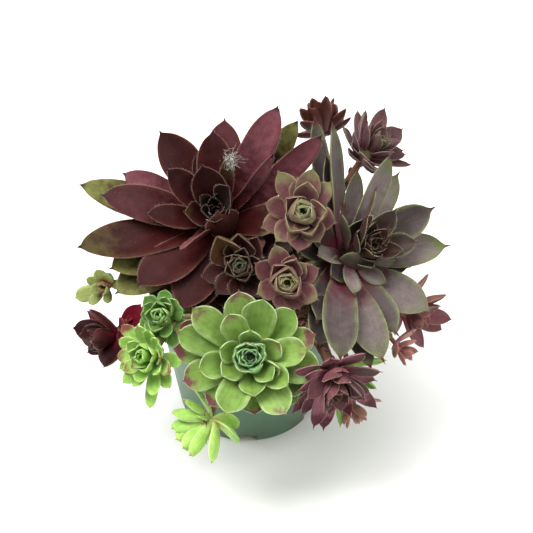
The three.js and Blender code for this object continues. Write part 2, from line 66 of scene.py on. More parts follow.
def addValues(tree, values, steps):
    # each step names a new value and makes it from earlier ones: a sum, a product, or a smooth fade
    # that runs from its first number to its second and gives 0 and 1 there, or its third and fourth
    for name, how, first, second in steps:
        if how == "FADE":
            low, high, atLow, atHigh = (*second, 0.0, 1.0)[:4]
            node = addNode(tree, "ShaderNodeMapRange", {
                "Value": values[first], "From Min": low, "From Max": high, "To Min": atLow, "To Max": atHigh,
            }, interpolation_type="SMOOTHSTEP")
        else:
            node = addNode(tree, "ShaderNodeMath", {
                0: values[first], 1: values.get(second, second),
            }, operation=how)
        values[name] = node.outputs[0]


def newMaterial(name):
    material = bpy.data.materials.new(name)
    material.use_nodes = True
    material.node_tree.nodes.clear()
    return material, material.node_tree


leafSkinLook = {
    "roughness": 0.46,      # thin wax over flesh: a soft wide gloss
    "roughnessDrift": (-0.05, 0.08),  # from one cloud of pigment to the next
    "ior": 1.42,
    "glowReach": 1.6 * mm,  # how far light runs in the wet flesh just under the skin
    "glowColor": (1.0, 0.6, 0.3),
    "sheen": 0.02,          # short down too fine to model
    "sheenRoughness": 0.4,
    "streakWidth": 0.9,     # mm across one fibre streak, drawn coarser than the real 0.2 mm so it shows
    "streakLength": 11.0,   # mm along it
    "mottleSize": 4.5,      # mm across a cloud of pigment
    "speckSize": 0.55,      # mm between fine pores and grains of dust
    "grain": 0.05 * mm,     # depth of the fine relief
    "grainStrength": 0.8,
    "bark": "#6b5238",      # stems and runners
    "dustColor": "#cbbfb2",
}
# What a leaf skin has unless its rosette says otherwise. A fade is a pair of places: along the leaf from
# root 0 to point 1, across it from midrib 0 to edge 1, or inwards from the outer leaves 0 to the heart 1.
plainSkin = {
    "rootFade": (0.03, 0.4),      # from the root's colour to the blade's
    "tipFade": (0.55, 0.98),      # to the tip's colour
    "tipTone": (0.0, 1.0),        # which leaves have it, by their tone from 0 to 1
    "heartFade": (0.6, 1.0),      # to the colour of the inner leaves
    "bandWidth": (0.45, 1.0),     # a soft band along the edge
    "rimWidth": (0.93, 0.995),    # the thin pale line on the edge itself
    "rimFade": (0.08, 0.45),      # where along the leaf that line comes up
    "pointFade": (0.93, 0.98),    # the dark point
    "bandShare": 0.5, "underShare": 0.5, "rimShare": 0.6,  # how strongly these colour a leaf
    "heartRim": 1.0,              # how much of the rim is left on the inner leaves
    "blotch": "#7e4a3e", "blotchShare": 0.0,
    "dust": 0.25,                 # how pale the grains of dust are
    "shine": 0.16,                # gloss of the wax
    "glow": 0.16,                 # share of the light that goes through the flesh
}


def leafSkin(skin, name):
    # Living succulent leaf: waxy cuticle over watery flesh, so a soft sheen, a faint inner glow,
    # pigment that gathers at the root and the point, and a thin pale edge.
    look = leafSkinLook
    skin = {**plainSkin, **skin}
    material, tree = newMaterial(name)
    values = {}
    for attribute in ("along", "edge", "tier", "tone", "under", "bark"):
        values[attribute] = addNode(tree, "ShaderNodeAttribute", attribute_name=attribute).outputs["Fac"]
    grain = addNode(tree, "ShaderNodeAttribute", attribute_name="grain").outputs["Vector"]
    streakScale = (1 / look["streakWidth"], 1 / look["streakLength"], 1.0)
    stretched = addNode(tree, "ShaderNodeMapping", {"Vector": grain, "Scale": streakScale}).outputs["Vector"]
    for pattern, vector, size, detail, roughness in (
        ("streak", stretched, 1.0, 3.0, 0.6),
        ("mottle", grain, look["mottleSize"], 4.0, 0.55),
        ("speck", grain, look["speckSize"], 1.0, 0.5),
    ):
        values[pattern] = addNode(tree, "ShaderNodeTexNoise", {
            "Vector": vector, "Scale": 1 / size, "Detail": detail, "Roughness": roughness,
        }).outputs["Fac"]
    addValues(tree, values, (
        # how far along and across the leaf, with borders that wander, as pigment does
        ("drift", "FADE", "mottle", (0.25, 0.75, -0.09, 0.09)),
        ("place", "ADD", "along", "drift"),
        ("sideDrift", "MULTIPLY", "drift", 0.35),
        ("brink", "ADD", "edge", "sideDrift"),
        # the blade in its two tones, the band along its edge, the tip and the underside
        # where a rosette's root or heart colour is near black, as on the dark hen, it is partly painted shade
        # deep in the rosette
        ("blade", "FADE", "place", skin["rootFade"]),
        ("toned", "FADE", "tone", (0.45, 0.9)),
        ("tonedBlade", "MULTIPLY", "toned", "blade"),
        ("nearEdge", "FADE", "brink", skin["bandWidth"]),
        ("pastRoot", "FADE", "place", (0.1, 0.5, 0.0, skin["bandShare"])),
        ("band", "MULTIPLY", "nearEdge", "pastRoot"),
        ("tipped", "FADE", "tone", skin["tipTone"]),
        ("tipDrift", "MULTIPLY", "tipped", 0.12),
        ("tipPlace", "ADD", "place", "tipDrift"),
        ("nearTip", "FADE", "tipPlace", skin["tipFade"]),
        ("tip", "MULTIPLY", "nearTip", "tipped"),
        ("underside", "MULTIPLY", "under", skin["underShare"]),
        ("heart", "FADE", "tier", skin["heartFade"]),
        ("eye", "FADE", "tier", (0.9, 0.97)),
        # rosy blotches just short of the point
        ("spotStart", "FADE", "place", (0.74, 0.92)),
        ("spotEnd", "FADE", "place", (1.06, 0.96)),
        ("spotAlong", "MULTIPLY", "spotStart", "spotEnd"),
        ("offEdge", "FADE", "edge", (0.95, 0.4)),
        ("clouded", "FADE", "mottle", (0.36, 0.58)),
        ("spotAcross", "MULTIPLY", "offEdge", "clouded"),
        ("spot", "MULTIPLY", "spotAlong", "spotAcross"),
        ("spotted", "FADE", "tone", (0.66, 0.7, 0.0, skin["blotchShare"])),
        ("blotch", "MULTIPLY", "spot", "spotted"),
        # the rim and the point
        ("atEdge", "FADE", "edge", skin["rimWidth"]),
        ("rimAlong", "FADE", "along", (*skin["rimFade"], 0.0, skin["rimShare"])),
        ("rimLine", "MULTIPLY", "atEdge", "rimAlong"),
        ("rimInward", "FADE", "tier", (0.7, 0.85, 1.0, skin["heartRim"])),
        ("rim", "MULTIPLY", "rimLine", "rimInward"),
        ("point", "FADE", "along", skin["pointFade"]),
        # lighter and darker streaks, grains and clouds, then dust, relief and gloss
        ("streakLight", "FADE", "streak", (0.3, 0.7, -0.08, 0.1)),
        ("speckLight", "FADE", "speck", (0.3, 0.7, -0.06, 0.07)),
        ("fineLight", "ADD", "streakLight", "speckLight"),
        ("mottleLight", "FADE", "mottle", (0.3, 0.7, 0.83, 1.1)),
        ("light", "ADD", "fineLight", "mottleLight"),
        ("dust", "FADE", "speck", (0.74, 0.8, 0.0, skin["dust"])),
        ("streakRelief", "MULTIPLY", "streak", 0.8),
        ("speckRelief", "MULTIPLY", "speck", 0.35),
        ("relief", "ADD", "streakRelief", "speckRelief"),
        ("gloss", "FADE", "mottle", (0.3, 0.7, *(look["roughness"] + d for d in look["roughnessDrift"]))),
    ))
    layers = (
        (skin["blade"][0], "blade"), (skin["blade"][1], "tonedBlade"), (skin["band"], "band"),
        (skin["tip"], "tip"), (skin["under"], "underside"), (skin["heart"], "heart"),
        (skin.get("eye", skin["heart"]), "eye"), (skin["blotch"], "blotch"), (skin["rim"], "rim"),
        (skin["point"], "point"), (look["bark"], "bark"),
    )
    color = linear(skin["root"])
    for hexColor, share in layers:
        color = addNode(tree, "ShaderNodeMix", {
            0: values[share], 6: color, 7: linear(hexColor),
        }, data_type="RGBA").outputs[2]
    color = addNode(tree, "ShaderNodeVectorMath", {
        0: color, "Scale": values["light"],
    }, operation="SCALE").outputs["Vector"]
    color = addNode(tree, "ShaderNodeMix", {
        0: values["dust"], 6: color, 7: linear(look["dustColor"]),
    }, data_type="RGBA").outputs[2]
    bump = addNode(tree, "ShaderNodeBump", {
        "Height": values["relief"], "Distance": look["grain"], "Strength": look["grainStrength"],
    })
    shader = addNode(tree, "ShaderNodeBsdfPrincipled", {
        "Base Color": color, "Roughness": values["gloss"], "IOR": look["ior"], "Normal": bump.outputs["Normal"],
        "Subsurface Weight": skin["glow"], "Subsurface Scale": look["glowReach"],
        "Subsurface Radius": look["glowColor"], "Specular IOR Level": skin["shine"],
        "Sheen Weight": look["sheen"], "Sheen Roughness": look["sheenRoughness"],
    })
    addNode(tree, "ShaderNodeOutputMaterial", {"Surface": shader.outputs["BSDF"]})
    return material


# Shares of the half width: at the root, with the widest place, how blunt the tip is and how full its
# shoulders are. Then thickness over width, bend in degrees and cupping, each from the outer leaves to the
# inner ones, and the length and width over the leaf's width of the sharp point that ends it.
leafForms = {
    "broad": {
        "root": 0.48, "widest": 0.60, "blunt": 2.2, "shoulder": 0.64, "thick": 0.17,
        "bend": (14, 8), "cup": (0.20, 0.50), "point": (0.22, 0.20),
    },
    "slender": {
        "root": 0.46, "widest": 0.62, "blunt": 2.2, "shoulder": 0.66, "thick": 0.17,
        "bend": (12, 8), "cup": (0.24, 0.55), "point": (0.42, 0.30),
    },
    "plump": {
        "root": 0.44, "widest": 0.64, "blunt": 2.7, "shoulder": 0.50, "thick": 0.26,
        "bend": (24, 14), "cup": (0.22, 0.60), "point": (0.20, 0.18),
    },
    "stubby": {
        "root": 0.58, "widest": 0.56, "blunt": 2.0, "shoulder": 0.70, "thick": 0.26,
        "bend": (18, 10), "cup": (0.24, 0.60), "point": (0.22, 0.20),
    },
    "drop": {
        "root": 0.32, "widest": 0.66, "blunt": 2.4, "shoulder": 0.52, "thick": 0.52,
        "bend": (15, 10), "cup": (0.06, 0.30), "point": (0.20, 0.20),
    },
}
leafShape = {
    "thinnest": 1.1,        # mm
    "belly": 0.25,          # how much thicker a leaf is halfway than at its root
    "tipThin": 0.75,        # share of the thickness that the tip loses
    "tipThinFrom": 0.55,
    "tipThinCurve": 1.6,
    "swell": 1.3,           # how slowly a leaf widens from its root
    "pointHollow": 1.4,     # how hollow the sides of the sharp point are
    "pointLongest": 0.2,    # share of the leaf that the point takes at most
    "wander": 0.02,         # how far the edges wander, over the half width
    "sway": 0.012,          # how far a leaf bows sideways, over its length
    "rollRate": 2.5,        # a rolled leaf has turned fully at 1/2.5 of its length
    "edgeRound": 0.85, "above": 0.32, "aboveRound": 0.8, "below": 0.62, "belowRound": 0.9,
    "channel": 0.22, "keel": 0.22,  # depth of the groove above and the ridge below, over the thickness
}
goldenAngle = 137.508


def blend(pair, share):
    return pair[0] + (pair[1] - pair[0]) * share


def facing(face):
    # right, up and outward directions of the plane a rosette faces
    azimuth, elevation = (math.radians(a) for a in face)
    out = np.array([
        math.cos(elevation) * math.cos(azimuth), math.cos(elevation) * math.sin(azimuth), math.sin(elevation),
    ])
    right = np.array([-math.sin(azimuth), math.cos(azimuth), 0.0])
    return right, np.cross(out, right), out


def outlineShare(t, form):
    rise = np.sin(0.5 * np.pi * np.clip(t / form["widest"], 0, 1)) ** leafShape["swell"]
    past = np.clip((t - form["widest"]) / (1 - form["widest"]), 0, 1)
    tip = (1 - past ** form["blunt"]) ** form["shoulder"]
    return np.where(t < form["widest"], blend((form["root"], 1.0), rise), tip)


def plumpShare(t):
    shape = leafShape
    belly = 1 - shape["belly"] + shape["belly"] * np.sin(np.pi * np.clip(t * 1.1, 0, 1))
    tip = np.clip((t - shape["tipThinFrom"]) / (1 - shape["tipThinFrom"]), 0, 1)
    return belly * (1 - shape["tipThin"] * tip ** shape["tipThinCurve"])


crownTaper, crownSpread = 0.65, 0.75  # how much nearer the axis inner leaves grow, and how far out all do


def leafPlan(rosette, leaf):
    # where one leaf grows from, which ways it runs, and its arc
    azimuth, tier, lift, length, width = leaf[:5]
    form = leafForms[rosette["form"]]
    right, up, out = facing(rosette["face"])
    turn = math.radians(azimuth)
    along = math.cos(turn) * right + math.sin(turn) * up
    radius, height = rosette["crown"]
    origin = np.array(rosette["at"], float) + along * radius * (1 - crownTaper * tier) * crownSpread
    origin = origin + out * height * (tier - 0.5)
    return {
        "tier": tier, "start": math.radians(lift), "length": length, "width": width, "form": form,
        "roll": math.radians(leaf[5] if len(leaf) > 5 else 0),
        "arc": math.radians(leaf[6] if len(leaf) > 6 else blend(form["bend"], tier)),
        "cup": leaf[7] if len(leaf) > 7 else blend(form["cup"], tier),
        "origin": origin, "along": along, "out": out, "across": np.cross(out, along),
    }


def leafSpine(plan, t):
    # points, outward sides and upper normals along the arc
    angle = plan["start"] + plan["arc"] * t
    reach = plan["length"] / plan["arc"]
    ahead = reach * (np.sin(angle) - math.sin(plan["start"]))
    rise = reach * (math.cos(plan["start"]) - np.cos(angle))
    points = plan["origin"] + ahead[:, None] * plan["along"] + rise[:, None] * plan["out"]
    normal = np.cos(angle)[:, None] * plan["out"] - np.sin(angle)[:, None] * plan["along"]
    twist = (plan["roll"] * np.clip(t * leafShape["rollRate"], 0, 1))[:, None]
    side = np.cos(twist) * plan["across"] + np.sin(twist) * normal
    top = np.cos(twist) * normal - np.sin(twist) * plan["across"]
    return points, side, top


def leafSkeleton(plan, stations, rng):
    # the sections along one leaf, closer together at its tip: centre, side, top, half width, thickness
    shape = leafShape
    t = np.concatenate([[-0.07], 1 - (1 - np.linspace(0.02, 1, stations - 1)) ** 1.25])
    points, side, top = leafSpine(plan, t)
    pointLength, pointWidth = plan["form"]["point"]
    pointReach = min(pointLength * plan["width"] / plan["length"], shape["pointLongest"])
    body = outlineShare(np.clip(t / (1 - 0.6 * pointReach), 0, 1), plan["form"]) * plan["width"] / 2
    share = np.clip((1 - t) / (1.3 * pointReach), 0, 1)
    point = pointWidth * plan["width"] / 2 * share ** shape["pointHollow"]
    wave = 1 + shape["wander"] * np.sin(t * rng.uniform(9, 15) + rng.uniform(0, 6))
    half = (body ** 3 + point ** 3) ** (1 / 3) * wave + 0.04
    thick = np.maximum(plumpShare(t) * plan["form"]["thick"] * plan["width"], shape["thinnest"])
    thick = np.minimum(thick, 1.1 * half + 0.05)
    sway = shape["sway"] * plan["length"] * np.sin(np.pi * np.clip(t, 0, 1)) * rng.uniform(-1, 1)
    points = points + sway[:, None] * side
    return t, points, side, top, half, thick


attributeNames = ("along", "edge", "tier", "tone", "under", "bark", "pale")


def newBasket():
    return {"points": [], "faces": [], "count": 0, "grain": [], **{name: [] for name in attributeNames}}


def addPatch(basket, points, faces, grain=None, **values):
    count = len(points)
    basket["points"].append(points)
    basket["faces"].extend(tuple(corner + basket["count"] for corner in face) for face in faces)
    basket["grain"].append(points if grain is None else grain)
    for name in attributeNames:
        basket[name].append(np.broadcast_to(np.asarray(values.get(name, 0.0), float), (count,)))
    basket["count"] += count


def ringFaces(rings, around):
    # quads over rings of points, and fans to the start point and the end point that follow them
    faces = []
    for i in range(rings - 1):
        for j in range(around):
            k = (j + 1) % around
            faces.append((i * around + j, i * around + k, (i + 1) * around + k, (i + 1) * around + j))
    start, end, last = rings * around, rings * around + 1, (rings - 1) * around
    for j in range(around):
        k = (j + 1) % around
        faces.append((start, k, j))
        faces.append((last + j, last + k, end))
    return faces


def makePiece(basket, name, material, node=None, smooth=True):
    mesh = bpy.data.meshes.new(name)
    mesh.from_pydata((np.concatenate(basket["points"]) * mm).tolist(), [], basket["faces"])
    for attribute in attributeNames:
        layer = mesh.attributes.new(attribute, "FLOAT", "POINT")
        layer.data.foreach_set("value", np.concatenate(basket[attribute]).astype(np.float32))
    layer = mesh.attributes.new("grain", "FLOAT_VECTOR", "POINT")
    layer.data.foreach_set("vector", np.concatenate(basket["grain"]).astype(np.float32).ravel())
    mesh.polygons.foreach_set("use_smooth", [smooth] * len(mesh.polygons))
    mesh.materials.append(material)
    mesh.validate()
    piece = bpy.data.objects.new(name, mesh)
    bpy.context.scene.collection.objects.link(piece)
    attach(piece, "root")
    if node:
        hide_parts(node)
    return piece


def addLeaf(basket, plan, stations, around, rng, tone):
    # a fleshy leaf: nearly flat above with a shallow channel, keeled below, with rounded edges
    shape = leafShape
    t, points, side, top, half, thick = leafSkeleton(plan, stations, rng)
    angle = 2 * np.pi * np.arange(around) / around
    x = np.sign(np.cos(angle)) * np.abs(np.cos(angle)) ** shape["edgeRound"]
    z = np.sin(angle)
    middle = (1 - np.abs(x)) ** 2
    channel = shape["channel"] * middle[None, :] * (1 - np.clip(t, 0, 1))[:, None]
    keel = shape["keel"] * middle[None, :] * np.clip(t, 0, 1)[:, None]
    upper = shape["above"] * np.abs(z) ** shape["aboveRound"] - channel
    lower = -shape["below"] * np.abs(z) ** shape["belowRound"] - keel
    lift = np.where(z > 0, upper, lower) * thick[:, None] + plan["cup"] * half[:, None] * x[None, :] ** 2
    skin = points[:, None, :] + side[:, None, :] * (x[None, :] * half[:, None])[:, :, None]
    skin = skin + top[:, None, :] * lift[:, :, None]
    ends = leafSpine(plan, np.array([-0.1, 1.0]))[0]
    tAll = np.concatenate([np.repeat(t, around), [0.0, 1.0]])
    across = np.concatenate([(x[None, :] * half[:, None]).ravel(), [0.0, 0.0]])
    grain = np.stack([across, tAll * plan["length"], np.full(len(tAll), 37.0 * tone)], 1)
    addPatch(
        basket, np.concatenate([skin.reshape(-1, 3), ends]), ringFaces(len(t), around), grain,
        along=np.clip(tAll, 0, 1), edge=np.concatenate([np.tile(np.abs(x), len(t)), [0.0, 0.0]]),
        tier=plan["tier"], tone=tone,
        under=np.concatenate([np.tile(np.clip(-3 * z, 0, 1), len(t)), [0.0, 0.0]]),
    )
    return t, points, side, top, half, thick


def addHair(basket, root, tip, thickness, tone):
    # a fine closed spike
    ahead = tip - root
    ahead = ahead / np.linalg.norm(ahead)
    first = np.cross(ahead, (0.31, 0.52, 0.79))  # any direction that no hair runs along
    first = first / np.linalg.norm(first)
    second = np.cross(ahead, first)
    turns = [0.0, 2 * math.pi / 3, 4 * math.pi / 3]
    base = [root + thickness * (math.cos(a) * first + math.sin(a) * second) for a in turns]
    faces = [(0, 1, 3), (1, 2, 3), (2, 0, 3), (0, 2, 1)]
    addPatch(basket, np.array(base + [tip]), faces, along=[0.0, 0.0, 0.0, 1.0], tone=tone)


def addMarginHairs(basket, plan, skeleton, rng, spacing, reach, thickness):
    # the fringe of short hairs along both edges of a leaf, from a tenth of its length to its point
    t, points, side, top, half, _ = skeleton
    count = int(plan["length"] * 0.92 / spacing)
    for sign in (-1, 1):
        for i in range(count):
            share = 0.1 + 0.89 * (i + rng.uniform(-0.4, 0.4)) / count
            at = [np.array([np.interp(share, t, values[:, axis]) for axis in range(3)])
                  for values in (points, side, top)]
            halfHere = np.interp(share, t, half)
            ahead = np.cross(at[1], at[2])
            root = at[0] + at[1] * sign * halfHere * 0.985 + at[2] * plan["cup"] * halfHere
            way = at[1] * sign + ahead * rng.uniform(0.25, 0.9) + at[2] * rng.uniform(-0.35, 0.55)
            way = way / np.linalg.norm(way)
            length = reach * rng.uniform(0.55, 1.25)
            addHair(basket, root - way * 0.1, root + way * length, thickness, rng.random())


def smoothPath(path, perSegment):
    # the same Catmull-Rom line as the runners' solids
    tension = 0.2
    given = [np.array(p, float) for p in path]
    given = [2 * given[0] - given[1]] + given + [2 * given[-1] - given[-2]]
    line = []
    for a, b, c, d in zip(given, given[1:], given[2:], given[3:]):
        for i in range(perSegment):
            u = i / perSegment
            startSlope, endSlope = tension * (c - a), tension * (d - b)
            line.append(
                (2 * u ** 3 - 3 * u ** 2 + 1) * b + (u ** 3 - 2 * u ** 2 + u) * startSlope
                + (3 * u ** 2 - 2 * u ** 3) * c + (u ** 3 - u ** 2) * endSlope
            )
    return np.array(line + [given[-2]])


def addTube(basket, line, radii, around, **values):
    # a closed tube along a line, its rings carried along without twist
    ahead = np.gradient(line, axis=0)
    ahead = ahead / np.linalg.norm(ahead, axis=1)[:, None]
    first = np.cross(ahead[0], (0.0, 0.0, 1.0) if abs(ahead[0][2]) < 0.9 else (1.0, 0.0, 0.0))
    rings = []
    angles = 2 * np.pi * np.arange(around) / around
    for point, way, radius in zip(line, ahead, radii):
        first = first - way * np.dot(first, way)
        first = first / np.linalg.norm(first)
        second = np.cross(way, first)
        rings.append(point + radius * (np.cos(angles)[:, None] * first + np.sin(angles)[:, None] * second))
    skin = np.concatenate(rings + [line[:1], line[-1:]])
    addPatch(basket, skin, ringFaces(len(line), around), **values)
    return ahead


stemLook = {
    "around": 12,
    "perSegment": 9,
    "scarSize": 0.14,      # share of the radius that old leaf scars stand out by
    "thickest": 2.5,       # mm of radius up to which a stem is a runner and bears scale leaves
    "bractSpacing": 5.5,   # mm between these
    "bractLength": 4.2, "bractWidth": 2.6, "bractLift": 16, "bractBend": 14, "bractCup": 0.5,
    "mixLevel": 78,        # mm, where the stem enters the potting mix
    "collarHeight": 3,
    "rootDepth": 12,
    "bark": 0.8,           # share of bark colour over the leaf's own
}


def heartLeaves(heart, rng):
    # the inner leaves, turned by the golden angle, longest outside, and each a little out of line
    leaves = []
    for i in range(heart["count"]):
        share = i / (heart["count"] - 1)
        leaf = [
            heart["spin"] + i * goldenAngle + rng.uniform(-11, 11), blend((heart["tier"], 1.0), share),
            blend(heart["lift"], share ** 0.8) + rng.uniform(-6, 6),
            blend(heart["length"], share ** 1.1) * rng.uniform(0.9, 1.1),
            blend(heart["width"], share ** 1.3) * rng.uniform(0.92, 1.1),
        ]
        if "bend" in heart:
            leaf += [0, blend(heart["bend"], share), blend(heart["cup"], share)]
        leaves.append(leaf)
    return leaves


# height over the crown's height, and radius over its radius
crownRings = ((-0.5, 0.95), (-0.3, 0.9), (-0.1, 0.76), (0.1, 0.64), (0.3, 0.5), (0.5, 0.3))


def addCrown(basket, rosette):
    # the short thick stem end that all leaves of a rosette grow from
    radius, height = rosette["crown"]
    right, up, out = facing(rosette["face"])
    middle = np.array(rosette["at"], float)
    around = 20
    angles = 2 * np.pi * np.arange(around) / around
    rings = []
    for level, share in crownRings:
        spoke = share * radius * (np.cos(angles)[:, None] * right + np.sin(angles)[:, None] * up)
        rings.append(middle + level * height * out + spoke)
    ends = np.array([middle - 0.62 * height * out, middle + 0.7 * height * out])
    addPatch(basket, np.concatenate(rings + [ends]), ringFaces(len(crownRings), around), tier=1.0, tone=0.5)


def addStem(basket, rosette, rng):
    # the stem or runner, ringed with old leaf scars and, where it is a runner, small scale leaves
    look, stem = stemLook, rosette["stem"]
    foot = stem["foot"]
    path = stem["path"] + [
        (*foot, look["mixLevel"] + look["collarHeight"]), (*foot, look["mixLevel"] - look["rootDepth"]),
    ]
    line = smoothPath(path, look["perSegment"])
    scars = 1 + look["scarSize"] * np.array([rng.uniform(-1, 1) for _ in line]) * 0.5
    ahead = addTube(basket, line, stem["radius"] * scars, look["around"], bark=look["bark"], tone=0.4)
    if stem["radius"] > look["thickest"]:
        return
    walked, turn = 0.0, rng.uniform(0, 6)
    for i in range(2, len(line) - look["perSegment"] - 3):
        walked += np.linalg.norm(line[i] - line[i - 1])
        if walked < look["bractSpacing"]:
            continue
        walked, turn = 0.0, turn + math.radians(goldenAngle)
        away = np.cross(ahead[i], (math.cos(turn), math.sin(turn), 0.3))
        away = away / np.linalg.norm(away)
        back = -ahead[i]  # scale leaves point to the chick at the runner's end
        bract = {
            "tier": 0.2, "start": math.radians(look["bractLift"]), "length": look["bractLength"],
            "width": look["bractWidth"], "form": leafForms["stubby"], "roll": 0.0,
            "arc": math.radians(look["bractBend"]), "cup": look["bractCup"],
            "origin": line[i] + away * stem["radius"] * 0.75, "along": back, "out": away,
            "across": np.cross(away, back),
        }
        addLeaf(basket, bract, 8, 10, rng, rng.random())


plainRosette = {  # what a rosette has unless its own dictionary says otherwise
    "detail": (17, 14),            # sections along a leaf, points round it
    "fringe": (0.5, 0.55, 0.035),  # mm: spacing, reach and half thickness of the hairs on its edges
    # a set tone can also paint light and shade on its leaf, as on the dark and grey hens
    "tones": {},                   # tone of a leaf by its number, for those that aren't left to chance
}
innerTone = 0.65  # the highest tone that chance gives an inner leaf
feet = []         # where each stem stands in the mix, and its radius
henHairs, chickHairs = newBasket(), newBasket()


def makeRosette(rosette, hairs):
    rosette = {**plainRosette, **rosette}
    node = rosette["node"]
    rng = random.Random(node)
    basket = newBasket()
    addCrown(basket, rosette)
    addStem(basket, rosette, rng)
    feet.append((rosette["stem"]["foot"], rosette["stem"]["radius"]))
    heart = heartLeaves(rosette["heart"], rng)
    placed = len(rosette["blades"])
    for i, leaf in enumerate([*rosette["blades"], *heart]):
        plan = leafPlan(rosette, leaf)
        if i >= placed and "form" in rosette["heart"]:
            plan["form"] = leafForms[rosette["heart"]["form"]]
        plan["roll"] += math.radians(rng.uniform(-4, 4))
        chance = rng.random() * (1.0 if i < placed else innerTone)
        skeleton = addLeaf(basket, plan, *rosette["detail"], rng, rosette["tones"].get(i, chance))
        addMarginHairs(hairs, plan, skeleton, rng, *rosette["fringe"])
    piece = makePiece(
        basket, node + "_rosette", leafSkin(rosette["skin"], node + "LeafSkin"), node,
    )
    print(node, "leaves:", placed + len(heart), "faces:", len(piece.data.polygons))


# Each rosette: where its crown's middle is, which way it faces in degrees round and up, and the crown's
# radius and height. Each leaf: degrees round the crown, tier from outside 0 to heart 1, lift over the
# crown's plane in degrees, length, width and, where they differ from the form's, roll, bend and cupping.

darkHen = {
    "node": "dark_hen", "form": "broad",
    "at": (-14, 14, 109), "face": (-105, 62), "crown": (9, 14),
    "detail": (26, 18), "fringe": (0.6, 0.9, 0.04),
    "blades": [
        (182, 0, 18, 68, 17), (188, 0.3, 25, 58, 19), (169, 0.15, 18, 50, 15), (138, 0.25, 30, 51, 20),
        (97, 0.1, 25, 48, 19), (103, 0.3, 35, 43, 18), (64, 0.3, 35, 65, 17, 25), (63, 0.05, 15, 53, 14),
        (69, 0.1, 22, 60, 16), (42, 0.15, 25, 66, 14, 45), (57, 0.05, 24, 61, 14, 25),
        (44, 0.5, 42, 47, 6.5, 60), (199, 0.5, 30, 35, 12.5), (159, 0.6, 52, 39, 14),
        (117, 0.75, 60, 32, 17), (212, 0.25, 20, 71, 21), (232, 0, 8, 60, 23), (252, 0.05, 4, 46, 17),
        (274, 0.05, 10, 46, 18), (296, 0.15, 16, 34, 17), (3, 0.2, 24, 36, 17), (241, 0.2, 20, 55, 22),
        (266, 0.1, 15, 52, 22), (251, 0.6, 35, 31, 9, 55), (329, 0.2, 22, 29, 16, -30),
        (201, 0.65, 48, 19, 13), (80, 0.6, 50, 33, 8), (45, 0.85, 68, 26, 14),
        (312, 0.15, 56, 27, 17.5, 0, 84, 0.5), (119, 0.1, 35, 34, 12), (288, 0, 2, 42, 19),
        (312, 0, 4, 38, 17), (345, 0.05, 10, 38, 16), (223, 0, 16, 58, 21),
    ],
    # these set tones mix the leaves' own brown and mauve with painted light and shade: the lowest leaves are
    # set darker and the upper ones lighter, as the light falls on them
    "tones": {
        0: 0, 1: 0.6, 2: 0.85, 3: 0.5, 4: 0.66, 5: 0.52, 6: 1, 7: 0.75, 8: 0.65, 9: 0.95, 10: 0, 11: 0.9,
        12: 0.5, 13: 0.5, 14: 0.48, 15: 0.28, 16: 0, 17: 0.1, 18: 0.46, 21: 0.52, 22: 0.48, 23: 0.95,
        27: 0.45, 28: 0.46, 29: 0.5, 30: 0.46, 31: 0.46, 32: 0.5, 33: 0.02,
    },
    "heart": {
        "count": 12, "tier": 0.85, "spin": 20, "lift": (62, 84), "length": (17, 6), "width": (8, 3.2),
    },
    "stem": {"radius": 6, "foot": (-12, 10), "path": [(-14, 13.5, 105), (-13, 11, 91)]},
    "skin": {
        # root, heart and the darker blade tone are near black: partly the leaves' real crimson and brown,
        # partly painted shade deep in the rosette and on its lowest leaves; the wide rootFade carries that
        # shade far up each leaf
        "root": "#390b0b", "blade": ("#2e1210", "#704047"), "band": "#4c251c", "tip": "#6a6b3a",
        "under": "#42221a", "heart": "#0d0405", "rim": "#8a6458", "point": "#1a0d0c",
        "rootFade": (0.1, 0.8), "tipFade": (0.62, 1.08), "tipTone": (0.45, 0.0),
        "heartFade": (0.66, 0.94), "bandWidth": (0.55, 1.0), "bandShare": 0.4, "rimShare": 0.5,
        "dust": 0.3, "shine": 0.17,
    },
}
makeRosette(darkHen, henHairs)

